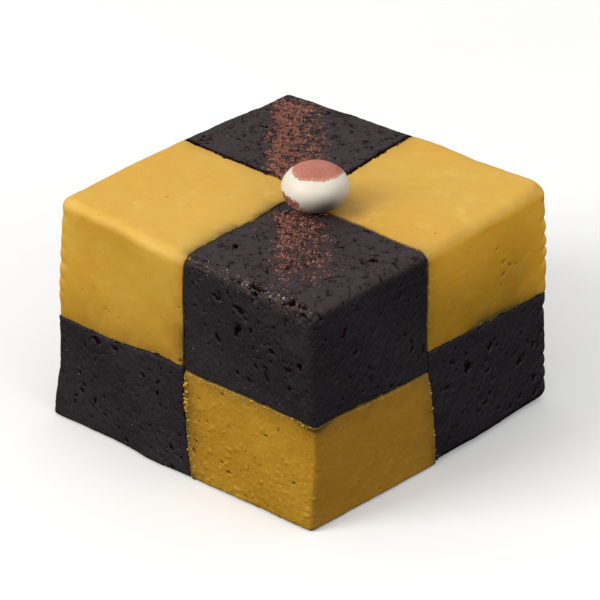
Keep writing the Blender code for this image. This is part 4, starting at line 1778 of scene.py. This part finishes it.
@dataclass
class Topping:
    """All loose grains: the cocoa stripe, the crumbs at the seams and pale grains as painted glints."""

    blocks: dict
    stripe: CocoaStripe = field(default_factory=CocoaStripe)
    fine_grains: int = 3400
    tries: int = 12
    kept_share: float = 0.42
    least_size: float = 0.026
    size_range: float = 0.070
    fine_shape: tuple = (1.3, 0.8, 0.55)
    foot_grains: int = 90
    cocoa_seed: int = 17
    crumb_seed: int = 29

    def build_cocoa(self, material: bpy.types.Material) -> None:
        """Make the stripe's loose grains, which lie thickest where the cover is thick.

        Args:
            material: The cocoa's finish.
        """
        middles, sizes = [], []
        scatter = np.random.default_rng(self.cocoa_seed)
        for name in ("dark_upper_back", "dark_upper_front"):
            block = self.blocks[name]
            u, v = scatter.uniform(0.01, 0.99, (2, self.fine_grains * self.tries))
            place = block.on_face(2, 1, u, v)
            cover = self.stripe.cover(place)
            clump = layered(place / MM, 0.5, Seed.COCOA_CLUMPS, 2)
            kept = scatter.uniform(0, 1, len(u)) < cover * smooth(clump, -0.2, 0.5) * self.kept_share
            place = place[kept][: self.fine_grains]
            size = self.least_size + self.size_range * scatter.uniform(0, 1, (len(place), 1)) ** 3
            shape = size * scatter.uniform(0.7, 1.3, (len(place), 3)) * np.array(self.fine_shape)
            place[:, 2] += shape[:, 2] * 0.35 * MM
            middles.extend(place)
            sizes.extend(shape * MM)
        place = Pearl().foot_places(scatter, self.foot_grains)
        size = scatter.uniform(0.05, 0.15, (len(place), 1))
        middles.extend(place)
        sizes.extend(size * scatter.uniform(0.6, 1.2, (len(place), 3)) * MM)
        Grains("cocoa_grains", 23).build(np.array(middles), np.array(sizes), material, "dark_chocolate")

    def strewn(self, rows: tuple, scatter: np.random.Generator, least: float, narrow: float) -> tuple:
        """Strew the grains of some rows over the finished faces of the blocks.

        Args:
            rows: The rows.
            scatter: The random draws.
            least: The smallest grain's size, as a share of its row's.
            narrow: The narrowest side of a grain, as a share of its size.

        Returns:
            The middles and the three half sizes of all grains.
        """
        middles, sizes = [], []
        for (name, axis, end), (u0, u1), (v0, v1), count, size in rows:
            u, v = scatter.uniform(u0, u1, count), scatter.uniform(v0, v1, count)
            middles.append(self.blocks[name].on_face(axis, end, u, v))
            shape = size * scatter.uniform(least, 1.0, (count, 1)) * scatter.uniform(narrow, 1.0, (count, 3))
            sizes.append(shape * MM)
        return np.concatenate(middles), np.concatenate(sizes)

    def build_crumbs(
        self, mango: bpy.types.Material, dark: bpy.types.Material, sugar: bpy.types.Material
    ) -> None:
        """Make the mango crumbs along the seams, the brown crumbs and pale grains as painted glints.

        Args:
            mango: The mango crumbs' finish.
            dark: The brown crumbs' finish.
            sugar: The glints' finish.
        """
        scatter = np.random.default_rng(self.crumb_seed)
        yellow = self.strewn(CRUMB_ROWS, scatter, 0.35, 0.6)
        pale = self.strewn(GLINT_ROWS, scatter, 0.3, 0.5)
        brown = self.strewn(DARK_CRUMB_ROWS, scatter, 0.3, 0.6)
        Grains("mango_crumbs", 31).build(*yellow, mango, "mango")
        Grains("chocolate_crumbs", 41).build(*brown, dark, "dark_chocolate")
        # Pale grains as painted glints
        Grains("painted_glints", 37).build(*pale, sugar, "white_sugar", smooth_faces=False)


# The faces that grains are strewn over: block, face axis and end
FRONT_TOP = ("dark_upper_front", 2, 1)
FRONT_SIDE = ("dark_upper_front", 1, 0)
BACK_TOP = ("dark_upper_back", 2, 1)
LEFT_TOP = ("mango_upper_left", 2, 1)
LEFT_SIDE = ("mango_upper_left", 1, 0)
RIGHT_TOP = ("mango_upper_right", 2, 1)
RIGHT_SIDE = ("mango_upper_right", 0, 1)
LOW_LEFT_SIDE = ("dark_lower_left", 1, 0)
LOW_FRONT_SIDE = ("mango_lower_front", 1, 0)
LOW_FRONT_TURNED = ("mango_lower_front", 0, 1)
LOW_RIGHT_SIDE = ("dark_lower_right", 0, 1)

# Rows of mango crumbs, of brown crumbs and of glints, pale grains that are painted highlights: face, spans
# across and along, number, largest half size in mm
CRUMB_ROWS = (
    (FRONT_TOP, (0.0, 0.05), (0.0, 0.02), 12, 0.07),
    (BACK_TOP, (0.25, 0.75), (0.0, 0.012), 26, 0.10),
    (BACK_TOP, (0.99, 1.0), (0.2, 0.7), 14, 0.08),
    (LOW_FRONT_SIDE, (0.02, 0.98), (0.975, 1.0), 70, 0.14),
    (LOW_FRONT_SIDE, (0.0, 0.04), (0.05, 0.98), 26, 0.20),
    (LOW_FRONT_SIDE, (0.0, 0.30), (0.05, 0.95), 24, 0.13),
    (LOW_FRONT_SIDE, (0.0, 0.035), (0.60, 0.98), 16, 0.27),
    (LOW_FRONT_TURNED, (0.985, 1.0), (0.1, 0.95), 12, 0.17),
    (LOW_FRONT_TURNED, (0.03, 0.60), (0.98, 1.0), 12, 0.08),
    (LEFT_SIDE, (0.93, 0.99), (0.03, 0.12), 8, 0.06),
    (LEFT_TOP, (0.1, 0.95), (0.985, 1.0), 46, 0.09),
    (LEFT_TOP, (0.985, 1.0), (0.05, 0.9), 30, 0.08),
    (RIGHT_TOP, (0.0, 0.012), (0.2, 0.95), 40, 0.09),
    (RIGHT_SIDE, (0.05, 0.95), (0.0, 0.02), 12, 0.07),
    (LEFT_SIDE, (0.3, 0.98), (0.0, 0.02), 16, 0.09),
)
DARK_CRUMB_ROWS = (
    (FRONT_TOP, (0.02, 0.98), (0.0, 0.025), 70, 0.09),
    (FRONT_SIDE, (0.02, 0.98), (0.965, 1.0), 50, 0.10),
    (FRONT_TOP, (0.40, 0.97), (0.0, 0.07), 64, 0.18),
    (FRONT_SIDE, (0.50, 0.98), (0.90, 1.0), 44, 0.17),
    (FRONT_TOP, (0.02, 0.98), (0.0, 1.0), 160, 0.06),
    (BACK_TOP, (0.02, 0.98), (0.0, 1.0), 120, 0.06),
    (BACK_TOP, (0.02, 0.98), (0.0, 0.02), 60, 0.11),
    (BACK_TOP, (0.98, 1.0), (0.02, 0.98), 60, 0.11),
    (RIGHT_SIDE, (0.36, 0.74), (0.0, 0.035), 34, 0.10),
    (LOW_RIGHT_SIDE, (0.0, 0.035), (0.0, 0.09), 16, 0.15),
    (LEFT_SIDE, (0.14, 0.52), (0.0, 0.025), 22, 0.12),
)
GLINT_ROWS = (
    (FRONT_TOP, (0.42, 0.58), (0.0, 0.040), 24, 0.095),
    (FRONT_TOP, (0.62, 0.78), (0.0, 0.045), 18, 0.095),
    (FRONT_TOP, (0.28, 0.97), (0.0, 0.065), 50, 0.070),
    (FRONT_TOP, (0.00, 0.30), (0.0, 0.018), 26, 0.055),
    (FRONT_TOP, (0.05, 0.95), (0.0, 0.05), 44, 0.050),
    (FRONT_SIDE, (0.05, 0.95), (0.93, 1.0), 40, 0.05),
    (FRONT_TOP, (0.05, 0.95), (0.05, 0.95), 46, 0.055),
    (BACK_TOP, (0.05, 0.95), (0.05, 0.95), 36, 0.05),
    (FRONT_SIDE, (0.05, 0.95), (0.05, 0.95), 34, 0.05),
    (LOW_LEFT_SIDE, (0.05, 0.95), (0.05, 0.95), 22, 0.05),
    (LOW_FRONT_SIDE, (0.05, 0.5), (0.95, 1.0), 22, 0.07),
    (LOW_FRONT_SIDE, (0.05, 0.95), (0.05, 0.95), 26, 0.05),
)

# The largest pits of the sides that are seen: block and face axis, then place across and up, length in mm
# and slant in degrees. The dark blocks' are the solids' own, apart from the second one of dark_lower_right,
# which tears its largest pit wider. The mango blocks' are in the scene alone.
LARGE_PITS = {
    ("dark_upper_front", 1): (
        (0.43, 0.58, 1.15, 60), (0.53, 0.63, 0.50, 90), (0.44, 0.76, 1.15, 170), (0.26, 0.78, 0.90, 12),
        (0.27, 0.41, 0.80, 120), (0.17, 0.48, 0.55, 140), (0.69, 0.52, 0.75, 160), (0.80, 0.50, 0.80, 35),
        (0.91, 0.50, 0.80, 35), (0.63, 0.29, 1.20, 100), (0.42, 0.17, 0.55, 150), (0.51, 0.16, 0.65, 165),
    ),
    ("dark_upper_front", 0): (
        (0.26, 0.69, 0.80, 60), (0.11, 0.73, 0.55, 120), (0.16, 0.65, 0.50, 110), (0.36, 0.48, 0.55, 50),
        (0.21, 0.31, 0.55, 50), (0.48, 0.20, 0.50, 80), (0.75, 0.13, 0.60, 75), (0.82, 0.40, 0.55, 100),
        (0.87, 0.32, 0.45, 100), (0.78, 0.75, 0.45, 70),
    ),
    ("dark_upper_front", 2): (
        (0.83, 0.74, 1.05, 40), (0.60, 0.73, 0.60, 40), (0.50, 0.82, 0.50, 40), (0.13, 0.30, 0.80, 130),
        (0.26, 0.29, 0.50, 60),
    ),
    ("dark_upper_back", 2): (
        (0.81, 0.74, 0.70, 20), (0.60, 0.86, 0.55, 40), (0.14, 0.27, 0.55, 30), (0.74, 0.30, 0.60, 70),
    ),
    ("mango_upper_right", 0): (
        (0.40, 0.030, 0.36, 60), (0.46, 0.045, 0.28, 100), (0.66, 0.030, 0.28, 60),
        (0.49, 0.87, 0.32, 30), (0.57, 0.66, 0.30, 20), (0.63, 0.58, 0.24, 160), (0.62, 0.50, 0.34, 20),
        (0.67, 0.44, 0.42, 150), (0.62, 0.38, 0.40, 60), (0.71, 0.42, 0.30, 10), (0.60, 0.30, 0.26, 100),
        (0.44, 0.43, 0.22, 10), (0.74, 0.60, 0.20, 10), (0.30, 0.18, 0.22, 10), (0.94, 0.86, 0.34, 120),
    ),
    ("mango_upper_left", 1): (
        (0.975, 0.055, 0.50, 60), (0.95, 0.10, 0.35, 20),
    ),
    ("mango_lower_front", 1): (
        (0.30, 0.93, 0.35, 160), (0.72, 0.82, 0.30, 100), (0.64, 0.72, 0.40, 10), (0.18, 0.62, 0.35, 150),
        (0.28, 0.30, 0.45, 10), (0.33, 0.23, 0.55, 10), (0.08, 0.45, 0.50, 80), (0.05, 0.28, 0.55, 90),
        (0.50, 0.14, 0.35, 20), (0.66, 0.30, 0.30, 60), (0.85, 0.40, 0.30, 20), (0.12, 0.80, 0.35, 10),
    ),
    ("dark_lower_left", 1): (
        (0.34, 0.93, 0.95, 170), (0.48, 0.93, 0.70, 165), (0.69, 0.78, 0.50, 120), (0.80, 0.76, 0.45, 60),
        (0.80, 0.66, 0.50, 60), (0.90, 0.90, 0.45, 45), (0.19, 0.35, 0.60, 110), (0.29, 0.30, 0.55, 80),
        (0.36, 0.38, 0.45, 60), (0.48, 0.16, 0.55, 80), (0.88, 0.22, 0.60, 110),
    ),
    ("dark_lower_right", 0): (
        (0.30, 0.71, 1.20, 75), (0.325, 0.70, 0.95, 170), (0.48, 0.77, 0.80, 65), (0.47, 0.58, 0.45, 60),
        (0.50, 0.47, 0.50, 40), (0.39, 0.45, 0.70, 60), (0.73, 0.49, 0.85, 55), (0.85, 0.58, 0.75, 60),
        (0.85, 0.26, 0.80, 50), (0.74, 0.17, 0.65, 45), (0.87, 0.13, 0.65, 45),
    ),
}

# Larger pits of a hidden dark side: their number, margin, lengths in mm and slants
PIT_SEED = 41
PITS_ON_A_SIDE = 9
PIT_MARGIN = 0.12
PIT_LENGTH = (0.5, 1.1)
PIT_SLANT = (35, 85)

# Small pits of a side, dark or mango: how many, and the longest in mm; then the span of the side that they
# lie in, the shortest, and their slants by axis
SMALL_PITS = {Paste.CHOCOLATE: (95, 0.42), Paste.MANGO: (19, 0.26)}
SMALL_PIT_SPAN = (0.03, 0.97)
SHORTEST_PIT = 0.14
SMALL_PIT_SLANTS = {0: (35, 80), 1: (100, 170), 2: (10, 170)}


def scattered_pits(draw: random.Random) -> list:
    """Pits of a hidden side, drawn as the solids draw them: one in each row and column of an even grid.

    Args:
        draw: The random draws.

    Returns:
        Place across and up, length in mm and slant in degrees of each pit.
    """
    span = 1 - 2 * PIT_MARGIN
    order = list(range(PITS_ON_A_SIDE))
    draw.shuffle(order)
    found = []
    for number, strip in enumerate(order):
        across = PIT_MARGIN + span * (number + draw.uniform(0.2, 0.8)) / PITS_ON_A_SIDE
        up = PIT_MARGIN + span * (strip + draw.uniform(0.2, 0.8)) / PITS_ON_A_SIDE
        found.append((across, up, draw.uniform(*PIT_LENGTH), draw.uniform(*PIT_SLANT)))
    return found


def lumps_on(block: Block, draw: random.Random, reach: tuple) -> list:
    """The stripe's largest lumps on one dark top, drawn as the solids draw them.

    Args:
        block: The dark block.
        draw: The random draws.
        reach: Both ends along the stripe and the middle's shift.

    Returns:
        The plan place and the half size of each lump.
    """
    stripe = CocoaStripe()
    to_side = np.array([math.cos(stripe.turn), math.sin(stripe.turn)])
    to_back = np.array([-math.sin(stripe.turn), math.cos(stripe.turn)])
    start, end, middle = reach
    found = []
    for number in range(stripe.lumps):
        far = start + (end - start) * (number + draw.uniform(0.1, 0.9)) / stripe.lumps
        aside = max(-1.0, min(1.0, draw.gauss(0, stripe.lump_spread)))
        plan = to_side * (middle + aside * stripe.lump_half_width) + to_back * far
        u, v = block.plan_to_face(plan[None, :])
        if min(u[0], v[0], 1 - u[0], 1 - v[0]) < stripe.margin:
            continue
        size = draw.uniform(*stripe.lump_size) / 2
        # The solids draw each lump's turn next, which a round lump has no use for
        draw.uniform(0, math.pi)
        found.append((plan, size))
    return found


def all_lumps(blocks: list) -> dict:
    """List the cocoa lumps of both dark tops, in the solids' order.

    Args:
        blocks: The blocks.

    Returns:
        The lumps by block name.
    """
    draw = random.Random(CocoaStripe.seed)
    by_name = {block.name: block for block in blocks}
    reaches = {"dark_upper_back": CocoaStripe.BACK, "dark_upper_front": CocoaStripe.FRONT}
    return {name: lumps_on(by_name[name], draw, reach) for name, reach in reaches.items()}


def all_pits(blocks: list) -> dict:
    """List the pits of every block and outer face: the large ones, then many small ones.

    Args:
        blocks: The blocks, in the solids' order.

    Returns:
        For each block's name, the pits by face axis and end.
    """
    draw, small = random.Random(PIT_SEED), random.Random(PIT_SEED + 1)
    found = {}
    for block in blocks:
        faces = {}
        column, row = block.cell
        dark = block.paste is Paste.CHOCOLATE
        for axis, end in [(0, column), (1, row)] + ([(2, 1)] if block.upper else []):
            pits = list(LARGE_PITS.get((block.name, axis)) or (scattered_pits(draw) if dark else ()))
            count, longest = SMALL_PITS[block.paste]
            for _ in range(count):
                across, up = small.uniform(*SMALL_PIT_SPAN), small.uniform(*SMALL_PIT_SPAN)
                length = SHORTEST_PIT + (longest - SHORTEST_PIT) * small.random() ** 2
                pits.append((across, up, length, small.uniform(*SMALL_PIT_SLANTS[axis])))
            faces[(axis, end)] = tuple(pits)
        found[block.name] = faces
    return found


@dataclass(frozen=True)
class Lamp:
    """One square soft lamp: its name, place, side, power in watts and colour."""

    name: str
    place: tuple
    side: float
    power: float
    colour: tuple

    def build(self, target: Vector) -> None:
        """Hang the lamp so that it looks at the target.

        Args:
            target: The place that it looks at.
        """
        data = bpy.data.lights.new(self.name, "AREA")
        data.shape = "SQUARE"
        data.size = self.side
        data.energy = self.power
        data.color = self.colour
        lamp = bpy.data.objects.new(self.name, data)
        bpy.context.scene.collection.objects.link(lamp)
        turned = (Vector(self.place) - target).to_track_quat("Z", "Y").to_matrix().to_4x4()
        lamp.matrix_world = Matrix.Translation(self.place) @ turned


@dataclass(frozen=True)
class Studio:
    """Floor, soft light and the camera at the photograph's angle."""

    azimuth: float = math.radians(42.4)
    elevation: float = math.radians(28.7)
    distance: float = 360 * MM
    lens: float = 247.08
    sensor: float = 36.0
    target_height: float = 10.522 * MM
    target_aside: float = -0.216 * MM
    floor_half: float = 3.0
    key: Lamp = Lamp("key", (-0.17, -0.40, 0.30), 0.24, 1.50, (1.0, 0.985, 0.96))
    fill: Lamp = Lamp("fill", (0.42, -0.02, 0.22), 0.30, 0.48, (0.97, 0.97, 0.98))

    # The sky's strength: below and above the horizon, the height over which it steps, and its rise overhead
    SKY_LOW = 0.03
    SKY_HIGH = 0.53
    HORIZON = 0.02
    SKY_RISE = 0.15

    def build(self) -> None:
        """Make the floor, the sky, the lights and the camera."""
        self.build_floor()
        self.build_sky()
        target = Vector((0, 0, self.target_height))
        self.key.build(target)
        self.fill.build(target)
        self.build_camera()
        scene = bpy.context.scene
        scene.view_settings.view_transform = "Standard"
        scene.view_settings.look = "None"
        log.info("studio: floor, two lamps and the camera")

    def build_floor(self) -> None:
        """Make the pale floor as one flat face."""
        half = self.floor_half
        corners = np.array([(-half, -half, 0), (half, -half, 0), (half, half, 0), (-half, half, 0)], float)
        mesh = bpy.data.meshes.new("floor")
        mesh.from_pydata(corners.tolist(), [], [(0, 1, 2, 3)])
        mesh.materials.append(FloorFinish().material())
        floor = bpy.data.objects.new("floor", mesh)
        floor.visible_diffuse = False
        floor.visible_glossy = False
        bpy.context.scene.collection.objects.link(floor)

    def build_sky(self) -> None:
        """Make the soft white light from above: a step at the horizon and a slow rise to overhead."""
        world = bpy.data.worlds.new("soft sky")
        tree = Tree(world)
        way = tree.node("ShaderNodeTexCoord").outputs["Generated"]
        height = tree.value("ShaderNodeSeparateXYZ", None, {0: way}, "Z")
        step = {"Value": height, "From Min": -self.HORIZON, "From Max": self.HORIZON}
        step.update({"To Min": self.SKY_LOW, "To Max": self.SKY_HIGH})
        glow = tree.value("ShaderNodeMapRange", None, step) + height * self.SKY_RISE
        sky = tree.nodes["Background"]
        tree.feed(sky.inputs["Color"], (1.0, 1.0, 1.0))
        tree.feed(sky.inputs["Strength"], glow)
        bpy.context.scene.world = world

    def build_camera(self) -> None:
        """Make the camera: it looks from the front corner between the -Y and the +X side."""
        turn, tilt = self.azimuth, self.elevation
        back = Vector((math.sin(turn) * math.cos(tilt), -math.cos(turn) * math.cos(tilt), math.sin(tilt)))
        right = Vector((math.cos(turn), math.sin(turn), 0))
        up = back.cross(right)
        place = Vector((0, 0, self.target_height)) + right * self.target_aside + back * self.distance
        data = bpy.data.cameras.new("camera")
        data.lens = self.lens
        data.sensor_width = self.sensor
        data.clip_start, data.clip_end = 0.01, 20.0
        camera = bpy.data.objects.new("camera", data)
        bpy.context.scene.collection.objects.link(camera)
        turned = Matrix((right, up, back)).transposed().to_4x4()
        camera.matrix_world = Matrix.Translation(place) @ turned
        bpy.context.scene.camera = camera


def make_blocks() -> list:
    """The eight blocks, in the solids' order.

    Returns:
        The blocks.
    """
    mango, dark = Paste.MANGO, Paste.CHOCOLATE
    waxy = {"cells": 118, "lumps": 0.022}
    gritty = {"cells": 132, "lumps": 0.03, "sandy": 1.0}
    hidden = {"cells": 104, "lumps": 0.03, "sandy": 0.6}
    footed = {"cells": 132, "lumps": 0.06, "foot_radius": 1.0 * MM}

    # How strongly painted shade darkens the mango along each of its sides, by axis and end
    left_seam_shade = {(0, 1): 0.98, (1, 1): 0.25, (2, 0): 0.40}
    right_seam_shade = {(1, 0): 0.40, (0, 0): 0.30, (2, 0): 0.80}
    front_seam_shade = {(0, 0): 1.35, (2, 1): 0.62, (1, 1): 0.90}
    back_seam_shade = {(0, 1): 0.85, (1, 0): 0.80, (2, 1): 0.55}
    return [
        Block("mango_upper_left", (0, 0), True, mango, 1.0 * MM, seam_shade_weights=left_seam_shade, scallop=0.22, **waxy),
        Block("dark_upper_front", (1, 0), True, dark, 0.7 * MM, cells=140, crumble=0.62),
        Block("dark_upper_back", (0, 1), True, dark, 0.7 * MM, cells=132, shadowed=1.0),
        Block("mango_upper_right", (1, 1), True, mango, 1.15 * MM, seam_shade_weights=right_seam_shade, scallop=0.40, **waxy),
        Block("dark_lower_left", (0, 0), False, dark, 0.5 * MM, cells=132),
        Block("mango_lower_front", (1, 0), False, mango, 0.45 * MM, seam_shade_weights=front_seam_shade, **gritty),
        Block("mango_lower_back", (0, 1), False, mango, 0.6 * MM, seam_shade_weights=back_seam_shade, **hidden),
        Block("dark_lower_right", (1, 1), False, dark, 1.2 * MM, scallop=0.36, **footed),
    ]


PITS_OF = all_pits(make_blocks())
LUMPS_OF = all_lumps(make_blocks())


def main() -> None:
    """Build every piece in order and report it."""
    logging.basicConfig(level=logging.INFO, format="%(name)s: %(message)s")
    mango = MangoFinish().material()
    sandy = MangoFinish("mango paste sandy", sand=1.0, **SANDY_SHADES).material()
    chocolate = ChocolateFinish().material()
    blocks = {}
    for block in make_blocks():
        if block.paste is Paste.CHOCOLATE:
            finish = chocolate
        else:
            finish = sandy if block.sandy else mango
        block.build(finish)
        blocks[block.name] = block
    Pearl().build(PearlFinish().material())
    topping = Topping(blocks)
    cocoa = GrainFinish("cocoa grains", (0.13, 0.045, 0.030), (0.52, 0.21, 0.135), 0.8)
    crumbs = GrainFinish("mango crumbs", (0.48, 0.24, 0.015), (0.80, 0.44, 0.035), 0.35, 0.3)
    # Pale grains as painted glints
    glints = GrainFinish("painted glints", (0.40, 0.25, 0.17), (0.86, 0.78, 0.75), 0.25, 0.1)
    topping.build_cocoa(cocoa.material())
    brown = GrainFinish("chocolate crumbs", (0.016, 0.010, 0.009), (0.135, 0.084, 0.060), 0.5)
    topping.build_crumbs(crumbs.material(), brown.material(), glints.material())
    Studio().build()


if __name__ == "__main__":
    main()
